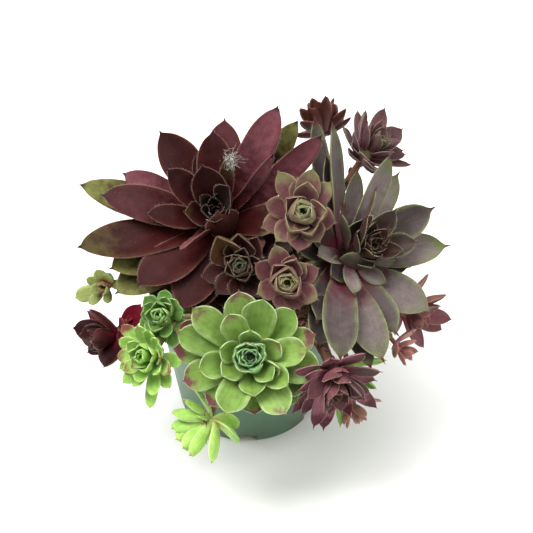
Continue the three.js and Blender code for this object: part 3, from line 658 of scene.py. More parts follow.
greyHen = {
    "node": "grey_hen", "form": "slender",
    "at": (52, -5, 103), "face": (-34, 47), "crown": (8, 20),
    "detail": (26, 18), "fringe": (0.6, 0.9, 0.04),
    "blades": [
        (350, 0.4, 41, 46, 17), (321, 0.2, 33, 49, 17), (20, 0.15, 24, 48, 16), (38, 0.4, 30, 51, 14, 12),
        (56, 0.7, 42, 33, 7, 45), (69, 0.2, 20, 64, 13, 20), (73, 0.1, 19, 49, 11), (47, 0.1, 20, 41, 11),
        (63, 0, 5, 67, 12), (271, 0.1, 31, 49, 19, 22), (203, 0.2, 16, 67, 18, 22),
        (223, 0.1, 23, 64, 19, 30), (223, 0, 16, 61, 13, 30), (190, 0.1, 11, 46, 17, 18),
        (198, 0, 8, 55, 16, 22), (172, 0.1, 8, 36, 16), (308, 0, 28, 31, 12),
        (244, 0.12, 22, 46.5, 18, 32), (150, 0.3, 20, 26, 11, 25), (132, 0.1, 5, 32, 13),
        (108, 0.15, 9, 26, 15), (86, 0.1, 4, 28, 13), (177, 0.3, 14, 18.5, 13, -10),
        (208, 0.35, 24, 24.5, 9.5, 10), (267, 0.4, 28, 20, 8.5, 68), (305, 0.55, 30, 18.5, 7, 60),
        (23, 0.7, 54, 28.5, 12), (109, 0.8, 58, 31, 11), (323, 0.65, 40, 29.5, 12),
        (108, 0.5, 40, 30.5, 9, 50), (10, 0.85, 64, 17.5, 8), (254, 0.8, 50, 9.5, 8),
        (126, 0.8, 50, 21, 10), (308, 0.8, 48, 20, 8), (213, 0.12, 86, 19.5, 15, 0, 28, 0.12),
        (52, 0.3, 49, 20, 13, 0, 20, 0.15), (252, 0.52, 38, 12, 9, 0, 40, 0.5),
    ],
    # some set tones are painted shade: leaves that sit behind and under others, such as 16 and 19 to 21, are
    # set dark; the rest follow the leaves' own grey and mauve
    "tones": {
        0: 0.2, 1: 0.95, 2: 0.9, 3: 0.8, 4: 0.7, 5: 0.62, 6: 0.4, 7: 0.85, 8: 0.5, 9: 0.68, 10: 0.58,
        11: 0.66, 12: 0.72, 13: 0.45, 14: 0.3, 15: 0.3, 16: 0.2, 17: 0.5, 18: 0.85, 19: 0.3, 20: 0.3,
        21: 0.3, 22: 0.5, 23: 0.95, 24: 0.8, 25: 0.9, 26: 0.2, 27: 0.05, 28: 0.1, 29: 0.1, 30: 0.1,
        31: 0.1, 32: 0.1, 33: 0.1, 34: 0.6, 35: 0.3, 36: 0.3,
    },
    "heart": {
        "count": 18, "tier": 0.8, "spin": 60, "lift": (58, 84), "length": (16, 8), "width": (7, 2.4),
    },
    "stem": {"radius": 5.5, "foot": (37, 2), "path": [(49, -3, 100), (42, 0, 89)]},
    "skin": {
        "root": "#6e2c3a", "blade": ("#403735", "#7a6e6b"), "band": "#646a48", "tip": "#586039",
        "under": "#57503e", "heart": "#38231c", "rim": "#a8a47c", "point": "#4a1416",
        "rootFade": (0.05, 0.52), "tipFade": (0.8, 1.06), "heartFade": (0.52, 0.85),
        "bandWidth": (0.66, 1.0), "bandShare": 0.8, "rimShare": 0.45, "pointFade": (0.9, 0.96),
    },
}
makeRosette(greyHen, henHairs)

greenHen = {
    "node": "green_hen", "form": "plump",
    "at": (2, -63, 90), "face": (-92, 48), "crown": (8, 11),
    "detail": (22, 18), "fringe": (0.55, 0.6, 0.035),
    "blades": [
        (175, 0, 8, 33, 13), (157, 0.05, 15, 35, 12), (163, 0.25, 15, 35, 14), (141, 0.2, 22, 36, 14),
        (101, 0.15, 22, 32, 17), (78, 0.25, 25, 29, 17), (48, 0.2, 15, 29, 15), (21, 0.1, 12, 30, 13),
        (9, 0.4, 20, 27, 14), (352, 0.2, 8, 31, 17), (331, 0.05, 0, 26, 15), (318, 0, 0, 26, 12),
        (304, 0.2, 15, 30, 16), (276, 0.1, 5, 23, 15), (248, 0.35, 25, 30, 16), (201, 0.1, 10, 31, 15),
        (230, 0.05, 5, 26, 13), (118, 0.4, 30, 24.5, 13, 0, 22, 0.3),
        (26, 0.5, 34, 17.5, 12, 20, 25, 0.4), (90, 0.6, 46, 17, 11, 0, 25, 0.3),
        (167, 0.5, 36, 16.5, 11, 0, 25, 0.35), (195, 0.35, 22, 25.5, 13, 0, 28, 0.4),
        (340, 0.55, 34, 17, 9, 50, 25), (215, 0.5, 28, 16.5, 12, 0, 30, 0.4),
        (316, 0.6, 32, 17, 11, 0, 30, 0.4), (278, 0.4, 24, 19, 13, 0, 32, 0.45),
        (325, 0.4, 24, 23.5, 12, 0, 30, 0.4), (150, 0.72, 54, 12.5, 9, 0, 30, 0.4),
        (48, 0.72, 54, 12, 8.5, 10, 30, 0.4), (108, 0.74, 58, 12, 8.5, -10, 30, 0.4),
        (185, 0.74, 52, 12, 9, 0, 30, 0.4), (240, 0.72, 50, 12, 9, 10, 32, 0.4),
        (300, 0.74, 52, 12, 8.5, 0, 32, 0.4), (5, 0.74, 54, 12, 8, -15, 30, 0.4),
    ],
    "tones": {
        0: 0.85, 1: 0.95, 2: 0.5, 3: 0.74, 4: 0.8, 5: 0.1, 6: 0.2, 7: 0.95, 8: 0.72, 9: 0.1, 10: 0.3,
        11: 0.2, 12: 0.74, 13: 0.85, 14: 0.1, 15: 0.88, 16: 0.95, 17: 0.72, 18: 0.7, 19: 0.2, 20: 0.4,
        21: 0.3, 22: 0.5, 23: 0.2, 24: 0.3, 25: 0.4, 26: 0.5,
    },
    "heart": {
        "count": 18, "tier": 0.8, "spin": 30, "lift": (58, 84), "length": (11, 5), "width": (6.5, 2.6),
    },
    "stem": {"radius": 3, "foot": (2, -34), "path": [(2, -61.5, 89), (2, -52, 93), (2, -40, 89)]},
    "skin": {
        "root": "#8fac48", "blade": ("#6c893e", "#83a14f"), "band": "#96ae70", "tip": "#64343a",
        "under": "#70903f", "heart": "#6a9458", "eye": "#4a6e46", "blotch": "#6e3f44", "rim": "#cddab8",
        "point": "#744a3e", "tipFade": (0.84, 1.06), "tipTone": (0.7, 0.85), "heartFade": (0.56, 0.82),
        "bandWidth": (0.55, 1.0), "blotchShare": 0.8, "rimWidth": (0.9, 1.0), "rimFade": (0.5, 0.95),
        "heartRim": 0.4, "dust": 0.08, "shine": 0.25, "glow": 0.35,
    },
}
makeRosette(greenHen, henHairs)

roseChickUpper = {
    "node": "rose_chick_upper", "form": "stubby",
    "at": (27, -7, 131), "face": (-90, 48), "crown": (5.5, 9),
    "blades": [
        (121, 0.1, 15, 22, 11), (99, 0.05, 18, 16, 10), (78, 0.1, 18, 21, 12), (49, 0.1, 12, 18, 11),
        (345, 0.1, 10, 14, 12), (300, 0.1, 15, 14, 12), (262, 0.1, 15, 17, 13), (226, 0.1, 15, 17, 12),
        (199, 0.05, 12, 19, 11), (165, 0.1, 12, 17, 11), (82, 0.4, 22, 18, 12, 0, 55, 0.5),
        (2, 0.45, 26, 14, 12.5, 0, 50, 0.7), (288, 0.42, 22, 13.5, 13, 0, 50, 0.7),
        (236, 0.45, 24, 14, 13, 0, 52, 0.75), (143, 0.48, 30, 13.5, 12.5, 0, 50, 0.75),
    ],
    "heart": {
        "form": "plump", "count": 13, "tier": 0.6, "spin": 190, "lift": (46, 84), "length": (12.5, 5.5),
        "width": (12, 2.4), "bend": (60, 10), "cup": (0.9, 0.5),
    },
    "stem": {"radius": 1.8, "foot": (18, -4), "path": [(27, -5, 129), (25, -3, 112), (19, -4, 92)]},
    "skin": {
        "root": "#6b2c38", "blade": ("#5c383b", "#6b4548"), "band": "#6f5c44", "tip": "#6f6a48",
        "under": "#6c5246", "heart": "#6a6a4a", "eye": "#4f7430", "rim": "#b0a184", "point": "#6a5c34",
        "tipFade": (0.66, 1.0), "heartFade": (0.5, 0.72), "bandWidth": (0.55, 1.0), "bandShare": 0.7,
        "rimShare": 0.5, "rimWidth": (0.95, 0.995),
    },
}
makeRosette(roseChickUpper, chickHairs)

roseChickLower = {
    "node": "rose_chick_lower", "form": "stubby",
    "at": (19, -34, 111), "face": (-90, 45), "crown": (5, 8),
    "blades": [
        (107, 0.1, 18, 18, 10), (76, 0.2, 25, 13, 9), (46, 0.1, 25, 12, 9), (24, 0.1, 12, 15, 10),
        (332, 0.1, 12, 15, 11), (296, 0.1, 12, 12, 11), (258, 0.1, 12, 12, 10), (200, 0.1, 12, 13, 11),
        (148, 0.1, 12, 16, 11), (68, 0.4, 24, 15, 10.5, 0, 55, 0.5), (128, 0.42, 28, 13, 11, 0, 50, 0.6),
    ],
    "heart": {
        "form": "plump", "count": 14, "tier": 0.5, "spin": 175, "lift": (32, 84), "length": (12.5, 5),
        "width": (12.5, 2.2), "bend": (52, 10), "cup": (0.85, 0.5),
    },
    "stem": {"radius": 1.7, "foot": (12, -20), "path": [(19, -32, 109), (15.5, -24, 96)]},
    "skin": {
        "root": "#70303c", "blade": ("#5a3437", "#683f43"), "band": "#725848", "tip": "#706a4a",
        "under": "#70544a", "heart": "#706649", "eye": "#56702e", "rim": "#b0a184", "point": "#6a5c34",
        "tipFade": (0.66, 1.0), "heartFade": (0.5, 0.72), "bandWidth": (0.55, 1.0), "bandShare": 0.65,
        "rimShare": 0.5, "rimWidth": (0.95, 0.995),
    },
}
makeRosette(roseChickLower, chickHairs)

plumChick = {
    "node": "plum_chick", "form": "stubby",
    "at": (-3, -19, 107), "face": (-95, 50), "crown": (5, 8),
    "fringe": (0.45, 1.0, 0.04),
    "blades": [
        (132, 0, 24, 24, 15, -20, 62, 0.8), (96, 0, 24, 20, 15, 0, 60, 0.7),
        (62, 0, 20, 18, 12, 0, 45, 0.6), (196, 0, 10, 17, 11), (232, 0, 12, 15, 11), (268, 0, 12, 14, 11),
        (306, 0, 12, 15, 11), (345, 0, 15, 15, 10),
    ],
    "tones": {0: 1, 1: 0.5, 2: 0.6, 3: 0.3, 4: 0.5, 5: 0.2, 6: 0.5, 7: 0.3},
    "heart": {
        "count": 20, "tier": 0.2, "spin": 20, "lift": (34, 84), "length": (13, 4.5), "width": (9, 3.2),
        "bend": (40, 12), "cup": (0.7, 0.5),
    },
    "stem": {"radius": 1.7, "foot": (-2, -14), "path": [(-3, -18, 105), (-2, -15, 92)]},
    "skin": {
        "root": "#2a0c0d", "blade": ("#331213", "#4a2220"), "band": "#3f2a1e", "tip": "#5e4028",
        "under": "#544f30", "heart": "#454c38", "rim": "#85786a", "point": "#5c5434",
        "tipFade": (0.15, 0.8), "tipTone": (0.9, 1.0), "heartFade": (0.7, 1.0), "rimShare": 0.4,
    },
}
makeRosette(plumChick, chickHairs)

wineChickLeft = {
    "node": "wine_chick_left", "form": "stubby",
    "at": (-65, -38, 80), "face": (-165, 8), "crown": (3.5, 7),
    "blades": [
        (177, 0.2, 30, 20, 11), (205, 0.4, 45, 23, 12), (219, 0.6, 55, 17, 12), (260, 0.6, 50, 14, 13),
        (247, 0.2, 35, 19, 11), (339, 0.2, 25, 18, 12.5, -55), (92, 0, -37, 19, 9.5, 45),
        (60, 0, -5, 17, 11), (351, 0.05, -10, 16, 9, -30),
    ],
    "tones": {6: 1, 7: 0.9},
    "heart": {
        "count": 8, "tier": 0.3, "spin": 120, "lift": (35, 80), "length": (19, 7), "width": (11, 4.5),
    },
    "stem": {
        "radius": 1.5, "foot": (-31, -20),
        "path": [(-63.4, -37.6, 80), (-55, -34, 89.5), (-46, -29, 92), (-38, -24, 89.5)],
    },
    "skin": {
        "root": "#601425", "blade": ("#210809", "#34100f"), "band": "#451616", "tip": "#5e0c1d",
        "under": "#401617", "heart": "#2c0b0e", "rim": "#6e4436", "point": "#6c6e3c",
        "tipFade": (0.0, 0.3), "tipTone": (0.86, 0.9), "rimShare": 0.3,
    },
}
makeRosette(wineChickLeft, chickHairs)

beadChick = {
    "node": "bead_chick", "form": "drop",
    "at": (-69.5, -12, 88), "face": (-112, 28), "crown": (2.2, 4),
    "detail": (14, 12),
    "blades": [
        (213, 0.2, 12, 16.5, 8, 0, 14), (240, 0.2, 20, 12, 5), (172, 0.2, 14, 10, 5),
        (120, 0.3, 26, 10, 6.5), (76, 0.3, 30, 9, 6), (25, 0.2, 20, 8, 5), (292, 0.2, 20, 8, 5),
    ],
    "tones": {0: 0.1, 1: 0.3},
    "heart": {
        "count": 4, "tier": 0.7, "spin": 200, "lift": (48, 78), "length": (8, 5), "width": (5.5, 3.5),
    },
    "stem": {
        "radius": 1.2, "foot": (-34, -8),
        "path": [(-69, -11.8, 87.6), (-58, -10, 91.5), (-48, -9, 91.4), (-41, -8.5, 89)],
    },
    "skin": {
        "root": "#9c2438", "blade": ("#90995a", "#807f4a"), "band": "#94a062", "tip": "#7a9448",
        "under": "#84984e", "heart": "#74603c", "rim": "#b8c48c", "point": "#5c5030",
        "rootFade": (0.12, 0.5), "rimShare": 0.3, "shine": 0.25, "glow": 0.3,
    },
}
makeRosette(beadChick, chickHairs)

limeChickClosed = {
    "node": "lime_chick_closed", "form": "plump",
    "at": (-40, -41, 96), "face": (-106, 46), "crown": (4, 9),
    "blades": [
        (24, 0.1, 33, 12.5, 7.5), (54, 0.1, 35, 12, 7.5), (94, 0.1, 20, 12, 7.5), (143, 0.1, 31, 13, 7.5),
        (189, 0.1, 39, 11.5, 7.5), (220, 0.1, 31, 12.5, 7.5), (254, 0.1, 24, 14, 7.5),
        (305, 0.1, 4, 14.5, 7.5), (342, 0.1, 13, 14, 7.5), (47, 0.4, 43, 12.5, 7.5, 0, 38, 0.7),
        (109, 0.4, 51, 12, 7.5, 0, 38, 0.7), (191, 0.4, 46, 11.5, 8, 0, 40, 0.75),
        (265, 0.4, 43, 13.5, 8, 0, 40, 0.75), (329, 0.4, 56, 12, 7.5, 0, 38, 0.7), (80, 0.25, 44, 12, 7),
        (160, 0.25, 42, 11.5, 7), (240, 0.25, 40, 12, 7), (300, 0.25, 36, 13, 7),
    ],
    "heart": {
        "count": 9, "tier": 0.7, "spin": 20, "lift": (54, 84), "length": (11, 5), "width": (6.5, 2.8),
        "bend": (40, 12), "cup": (0.7, 0.5),
    },
    "stem": {
        "radius": 1.4, "foot": (-25, -26),
        "path": [(-37.4, -40, 96), (-33, -35, 94), (-28, -29, 88)],
    },
    "skin": {
        "root": "#88b04c", "blade": ("#719448", "#88ae5a"), "band": "#94b870", "tip": "#5f8646",
        "under": "#648a42", "heart": "#74a056", "rim": "#bed0a4", "point": "#75503a", "rimShare": 0.45,
        "rimFade": (0.4, 0.9), "dust": 0.08, "shine": 0.25, "glow": 0.3,
    },
}
makeRosette(limeChickClosed, chickHairs)

limeChickOpen = {
    "node": "lime_chick_open", "form": "plump",
    "at": (-46, -57, 85), "face": (-122, 38), "crown": (4.5, 9),
    "blades": [
        (150, 0.1, 19, 19, 7), (172, 0.15, 22, 16, 7), (200, 0.2, 29, 15, 7), (224, 0.1, 19, 15, 7),
        (246, 0.1, 13, 17, 7), (266, 0.25, 15, 15, 7), (287, 0.05, -10, 22.5, 7),
        (304, 0.15, 13, 18, 7.5), (330, 0.15, 7, 17, 7.5), (356, 0.25, 25, 17, 7), (14, 0.05, 7, 16, 7),
        (39, 0.3, 39, 16, 7), (66, 0.3, 38, 15, 7), (95, 0.2, 37, 16, 7), (124, 0.1, 28, 16, 7),
        (30, 0.5, 47, 13, 7.5, 0, 36, 0.7), (108, 0.5, 54, 12.5, 7.5, 0, 38, 0.7),
        (182, 0.5, 53, 12.5, 7.5, 0, 38, 0.75), (252, 0.5, 54, 12.5, 7.5, 0, 38, 0.75),
        (318, 0.5, 48, 13, 7.5, 0, 36, 0.7), (236, 0.3, 38, 14, 7), (278, 0.3, 34, 14, 7),
        (342, 0.3, 38, 14, 7), (20, 0.35, 44, 14, 7), (160, 0.35, 44, 13, 7),
    ],
    "heart": {
        "count": 8, "tier": 0.72, "spin": 80, "lift": (58, 84), "length": (10.5, 5), "width": (6, 2.6),
        "bend": (40, 12), "cup": (0.7, 0.5),
    },
    "stem": {
        "radius": 1.6, "foot": (-18, -32),
        "path": [(-45, -55.5, 84), (-39, -48, 90), (-31, -39, 93), (-22, -34, 88)],
    },
    "skin": {
        "root": "#c2d488", "blade": ("#88b24e", "#a2c668"), "band": "#a6c67c", "tip": "#86503c",
        "under": "#7aa044", "heart": "#82b04c", "rim": "#cad8a8", "point": "#7a4232",
        "rootFade": (0.08, 0.55), "tipFade": (0.78, 1.0), "tipTone": (0.7, 0.85), "blotchShare": 0.8,
        "rimShare": 0.5, "rimFade": (0.4, 0.9), "dust": 0.08, "shine": 0.25, "glow": 0.3,
    },
}
makeRosette(limeChickOpen, chickHairs)

limeChickHanging = {
    "node": "lime_chick_hanging", "form": "plump",
    "at": (-19, -73.2, 56.3), "face": (-150, -15), "crown": (3.5, 8),
    "blades": [
        (98, 0.3, 33, 22, 10), (82, 0.35, 48, 22, 9.5), (58, 0.45, 50, 22, 8.5), (38, 0.4, 43, 24, 8.5),
        (24, 0.2, 40, 25.5, 8), (1, 0.1, 23, 24, 10.5), (6, 0.1, -22, 20, 9.5), (30, 0.1, -38, 19, 9),
        (59, 0.6, 41, 12, 9), (87, 0.5, 16, 11, 8, 40), (99, 0.3, 10, 20, 8), (103, 0.1, -8, 20, 8.5),
        (92, 0.55, 40, 16, 9),
    ],
    "heart": {"count": 4, "tier": 0.8, "spin": 80, "lift": (60, 84), "length": (14, 8), "width": (6, 4)},
    "stem": {
        "radius": 1.6, "foot": (-8, -36),
        "path": [(-17.5, -72.2, 56.8), (-11, -60, 74), (-9, -54.5, 86), (-9, -50, 92), (-8.5, -42, 89)],
    },
    "skin": {
        "root": "#d2d692", "blade": ("#9cc45c", "#b4d47a"), "band": "#aacc6e", "tip": "#6a9a3a",
        "under": "#a2c866", "heart": "#a4c860", "rim": "#dbe6b8", "point": "#7a5034",
        "rootFade": (0.1, 0.55), "rimShare": 0.5, "dust": 0.08, "shine": 0.25, "glow": 0.3,
    },
}
makeRosette(limeChickHanging, chickHairs)

wineChickFront = {
    "node": "wine_chick_front", "form": "slender",
    "at": (41, -71, 86), "face": (-78, -8), "crown": (4.5, 11),
    "blades": [
        (228, 0.05, 10, 28, 7), (234, 0.1, 15, 26, 8), (246, 0.2, 25, 29, 9), (260, 0.1, 20, 32, 9),
        (253, 0.5, 40, 18, 8), (185, 0.3, 40, 18, 8, 40), (80, 0.3, 36, 13, 9), (335, 0.1, 5, 22, 9),
        (339, 0.1, 0, 15, 8), (321, 0.3, 30, 20, 9.5), (310, 0.1, 10, 33, 8), (333, 0.6, 60, 12, 8),
        (150, 0.1, 12, 22, 8), (110, 0.35, 42, 17, 9.5), (50, 0.1, 12, 20, 8), (15, 0.2, 20, 22, 8),
        (285, 0.2, 22, 19, 8.5), (205, 0.1, 15, 22, 7), (150, 0.3, 17, 17, 6, 20),
        (170, 0.2, 29, 20, 6, 15), (276, 0.15, 43, 14, 6.5), (292, 0.25, 52, 22, 6.5),
        (324, 0.3, 14, 21, 7), (162, 0.55, 58, 14, 6.5), (274, 0.55, 22, 16, 6.5), (99, 0.1, 16, 14, 9),
    ],
    "tones": {
        0: 0.9, 1: 0.8, 2: 0.95, 3: 1, 4: 0.6, 5: 0.62, 6: 0.7, 8: 0.4, 9: 0.4, 10: 0.9, 11: 0.5, 12: 0.8,
        13: 0.5, 15: 0.5, 16: 0.95, 18: 1, 19: 0.95, 20: 0.7, 21: 1, 22: 0.5, 23: 0.4, 24: 0.5, 25: 0.85,
    },
    "heart": {
        "count": 14, "tier": 0.5, "spin": 80, "lift": (52, 82), "length": (18, 7), "width": (8, 3.2),
    },
    "stem": {
        "radius": 2, "foot": (19, -32),
        "path": [(40.5, -68.5, 86.5), (36, -57, 88.5), (29, -44, 91.5), (22, -36, 87)],
    },
    "skin": {
        "root": "#842e46", "blade": ("#4f3a38", "#a46a76"), "band": "#6a4a44", "tip": "#4a2429",
        "under": "#764248", "heart": "#5c463a", "rim": "#c0a298", "point": "#2e1416",
        "rootFade": (0.03, 0.5), "heartFade": (0.75, 1.0),
    },
}
makeRosette(wineChickFront, chickHairs)

leafGreenChick = {
    "node": "leaf_green_chick", "form": "stubby",
    "at": (50, -50, 66), "face": (-70, -20), "crown": (3.5, 7),
    "detail": (14, 12),
    "blades": [(232, 0.1, 50, 28, 9.5)],
    "heart": {"count": 11, "tier": 0, "spin": 20, "lift": (8, 75), "length": (19, 7), "width": (8, 4)},
    "stem": {
        "radius": 1.3, "foot": (32.5, -23),
        "path": [(49.4, -48.5, 66.5), (46.5, -41, 79), (41.5, -32.5, 91), (36, -27.5, 89)],
    },
    "skin": {
        "root": "#94b858", "blade": ("#75a040", "#88b44e"), "band": "#8ab264", "tip": "#7aa648",
        "under": "#789e44", "heart": "#74a044", "rim": "#c2d0a0", "point": "#6c5430", "rimShare": 0.4,
        "shine": 0.25, "glow": 0.3,
    },
}
makeRosette(leafGreenChick, chickHairs)

amberChick = {
    "node": "amber_chick", "form": "stubby",
    "at": (51, -64, 57), "face": (-60, -35), "crown": (3, 6),
    "detail": (14, 12),
    "blades": [],
    "heart": {"count": 9, "tier": 0, "spin": 20, "lift": (20, 75), "length": (13, 6), "width": (6, 3)},
    "stem": {
        "radius": 1.2, "foot": (25, -28),
        "path": [(50.3, -63, 58), (45, -58, 68), (38, -49, 84), (34, -40, 91), (29, -32.5, 88)],
    },
    "skin": {
        "root": "#a06a58", "blade": ("#a26e6c", "#b08480"), "band": "#8e7460", "tip": "#7c4640",
        "under": "#7c6a4c", "heart": "#8e665a", "rim": "#a48a70", "point": "#4c281e",
    },
}
makeRosette(amberChick, chickHairs)

berryChick = {
    "node": "berry_chick", "form": "stubby",
    "at": (80, -20, 78), "face": (-30, -5), "crown": (4, 8),
    "blades": [
        (56, 0.2, 5, 20, 8), (41, 0.4, 40, 20, 10), (329, 0.4, 40, 25, 9), (309, 0.3, 30, 26, 9),
        (282, 0.1, 20, 27, 9), (240, 0.5, 35, 10, 8), (251, 0, -5, 13, 9),
    ],
    "heart": {"count": 7, "tier": 0.5, "spin": 20, "lift": (50, 80), "length": (14, 7), "width": (8, 4)},
    "stem": {
        "radius": 1.5, "foot": (41, -7),
        "path": [(78.3, -19, 78.2), (68, -15, 86), (58, -11, 90.5), (51, -9.5, 91.4), (45, -8, 88.5)],
    },
    "skin": {
        "root": "#a83c54", "blade": ("#6c3e45", "#a06c70"), "band": "#6e5048", "tip": "#5e4434",
        "under": "#6e4640", "heart": "#84504c", "rim": "#a08470", "point": "#3a1a1a",
    },
}
makeRosette(berryChick, chickHairs)

coralChick = {
    "node": "coral_chick", "form": "stubby",
    "at": (75, -34, 67), "face": (-35, -10), "crown": (3, 6),
    "detail": (14, 12),
    "blades": [],
    "heart": {
        "count": 9, "tier": 0, "spin": 20, "lift": (15, 75), "length": (12, 5), "width": (6.6, 3.2),
    },
    "stem": {
        "radius": 1.2, "foot": (38, -15),
        "path": [(74, -33.3, 67.2), (65, -28, 78), (55, -22, 89), (48, -18.5, 91), (42, -16, 88)],
    },
    "skin": {
        "root": "#a8646a", "blade": ("#ae7e74", "#9a6a5e"), "band": "#96685c", "tip": "#723830",
        "under": "#92605a", "heart": "#a8746e", "rim": "#b08c78", "point": "#5a2420",
    },
}
makeRosette(coralChick, chickHairs)

wineChickBack = {
    "node": "wine_chick_back", "form": "stubby",
    "at": (38, 64, 128), "face": (115, 45), "crown": (4, 8),
    "blades": [
        (45, 0.1, 12, 23, 8), (60, 0.2, 22, 25, 8), (74, 0.2, 25, 25, 8), (102, 0.3, 30, 18, 11),
        (118, 0.1, 18, 18, 8), (150, 0, 10, 14, 9), (195, 0, 15, 13, 11), (240, 0, 10, 13, 10),
        (290, 0.05, 12, 15, 9), (10, 0, 8, 17, 8), (67, 0.12, 28, 29, 7), (82, 0.12, 25, 29, 7),
        (50, 0.05, 26, 26, 7),
    ],
    "heart": {"count": 7, "tier": 0.5, "spin": 20, "lift": (45, 82), "length": (16, 7), "width": (8, 4)},
    "stem": {
        "radius": 1.7, "foot": (25, 31),
        "path": [(38.3, 63, 127), (37, 54, 117), (33, 44, 104), (28, 37, 92)],
    },
    "skin": {
        "root": "#682024", "blade": ("#50211f", "#692e2b"), "band": "#52302a", "tip": "#542a22",
        "under": "#56302a", "heart": "#3c2a20", "rim": "#84664e", "point": "#301210",
    },
}
makeRosette(wineChickBack, chickHairs)

mauveChickBack = {
    "node": "mauve_chick_back", "form": "slender",
    "at": (60, 47, 125), "face": (10, 45), "crown": (5, 9),
    "blades": [
        (8, 0.1, 15, 26, 8), (30, 0.3, 35, 20, 8), (358, 0.4, 45, 26, 10), (52, 0.5, 55, 15, 9),
        (315, 0.3, 35, 28, 11), (300, 0.1, 15, 30, 9), (285, 0.25, 25, 24, 9), (255, 0.1, 30, 14, 11),
        (200, 0.05, 5, 9, 12), (160, 0.1, 25, 13, 11), (95, 0.1, 30, 16, 9), (125, 0, 5, 14, 9),
        (60, 0.05, 12, 16, 8), (33, 0.15, 43, 22, 6.5), (10, 0.45, 61, 18, 6.5), (325, 0.35, 42, 20, 7.5),
        (283, 0.2, 63, 20, 8), (271, 0.05, 24, 26, 6.5), (176, 0.1, 18, 16, 11), (113, 0.15, 12, 12, 8),
        (19, 0.4, 18, 16, 7),
    ],
    "tones": {
        0: 0.9, 1: 0.95, 2: 1, 3: 1, 4: 0.1, 5: 0.2, 6: 0.3, 7: 0.2, 8: 0, 9: 0.1, 10: 0.3, 11: 0.1,
        12: 0.6, 13: 0.9, 14: 0.8, 15: 0.4, 16: 0.2, 17: 1, 18: 0.3, 19: 0.1, 20: 0.7,
    },
    "heart": {"count": 8, "tier": 0.5, "spin": 80, "lift": (50, 82), "length": (16, 8), "width": (8, 4)},
    "stem": {
        "radius": 1.9, "foot": (33, 23),
        "path": [(58.8, 46.8, 124), (53, 43, 114), (44, 36, 102), (37, 29, 92)],
    },
    "skin": {
        "root": "#74303e", "blade": ("#4a3236", "#80505e"), "band": "#5a4a38", "tip": "#523c32",
        "under": "#5e4145", "heart": "#545038", "rim": "#98887a", "point": "#561a1e", "bandShare": 0.6,
        "underShare": 0.4,
    },
}
makeRosette(mauveChickBack, chickHairs)


hairLook = {
    "root": "#b59a8c", "tip": "#efe9e0",
    "roughness": 0.5, "ior": 1.5, "glow": 0.3, "glowReach": 0.5 * mm,
}


def leafHair(look):
    # Glandular leaf hairs: clear and pale, so they catch the light and rim each leaf.
    material, tree = newMaterial("leafHair")
    along = addNode(tree, "ShaderNodeAttribute", attribute_name="along").outputs["Fac"]
    color = addNode(tree, "ShaderNodeMix", {
        0: along, 6: linear(look["root"]), 7: linear(look["tip"]),
    }, data_type="RGBA").outputs[2]
    shader = addNode(tree, "ShaderNodeBsdfPrincipled", {
        "Base Color": color, "Roughness": look["roughness"], "IOR": look["ior"],
        "Subsurface Weight": look["glow"], "Subsurface Scale": look["glowReach"],
    })
    addNode(tree, "ShaderNodeOutputMaterial", {"Surface": shader.outputs["BSDF"]})
    return material


webLook = {
    "leaf": 26, "place": 0.97,  # which leaf of the dark hen carries the web, and how far along it
    "strands": 72, "thickness": 0.03, "reach": (2, 7), "spread": 2.0,  # mm
    "curl": 0.28,               # how far a thread strays, over its length
    "drawn": 0.7,               # how strongly the threads lean to the rosette's right
}


def addWeb(hairs, look, rosette):
    # a tuft of cobweb threads caught on the tip of one narrow leaf
    rng = random.Random(5)
    plan = leafPlan(rosette, rosette["blades"][look["leaf"]])
    center = leafSpine(plan, np.array([look["place"]]))[0][0]
    toward = facing(rosette["face"])[0]
    for _ in range(look["strands"]):
        way = np.array([rng.gauss(0, 1) for _ in range(3)]) + toward * look["drawn"]
        way = way / np.linalg.norm(way)
        curl = np.array([rng.gauss(0, 1) for _ in range(3)])
        length = rng.uniform(*look["reach"])
        start = center + np.array([rng.gauss(0, look["spread"]) for _ in range(3)])
        steps = np.linspace(0, 1, 7)[:, None]
        line = start + way * length * steps + curl * look["curl"] * length * steps ** 2 * rng.uniform(-1, 1)
        addTube(hairs, line, [look["thickness"]] * 6 + [0.02], 3, along=1.0, tone=rng.random())


addWeb(henHairs, webLook, darkHen)
hairSkin = leafHair(hairLook)
makePiece(henHairs, "hen_leaf_hairs", hairSkin)
makePiece(chickHairs, "chick_leaf_hairs", hairSkin)
print("hairs:", len(henHairs["points"]) + len(chickHairs["points"]))

dryLook = {
    "light": "#a98d68", "dark": "#6a4a32", "roughness": 0.8, "ior": 1.4,
    "ribs": (1.6, 0.12, 1.0),      # wrinkles to the mm: across, along
    "clouds": 0.3,                 # patches to the mm
    "edgeDark": 6.0,               # higher keeps the dark edge thinner
    "relief": 0.4 * mm, "reliefStrength": 0.9,
    "counts": {"dark_hen": 15, "grey_hen": 13, "green_hen": 9},
    "thickness": 0.5, "length": (11, 19), "width": (4.5, 8),  # mm
    "lift": (-35, 15), "roll": (-50, 50), "bend": (-75, -30), "turn": (-20, 20),  # degrees
    "cup": (-0.6, 0.9), "ripple": 0.5,  # ripple in mm
    "sections": 14, "around": 12,
}


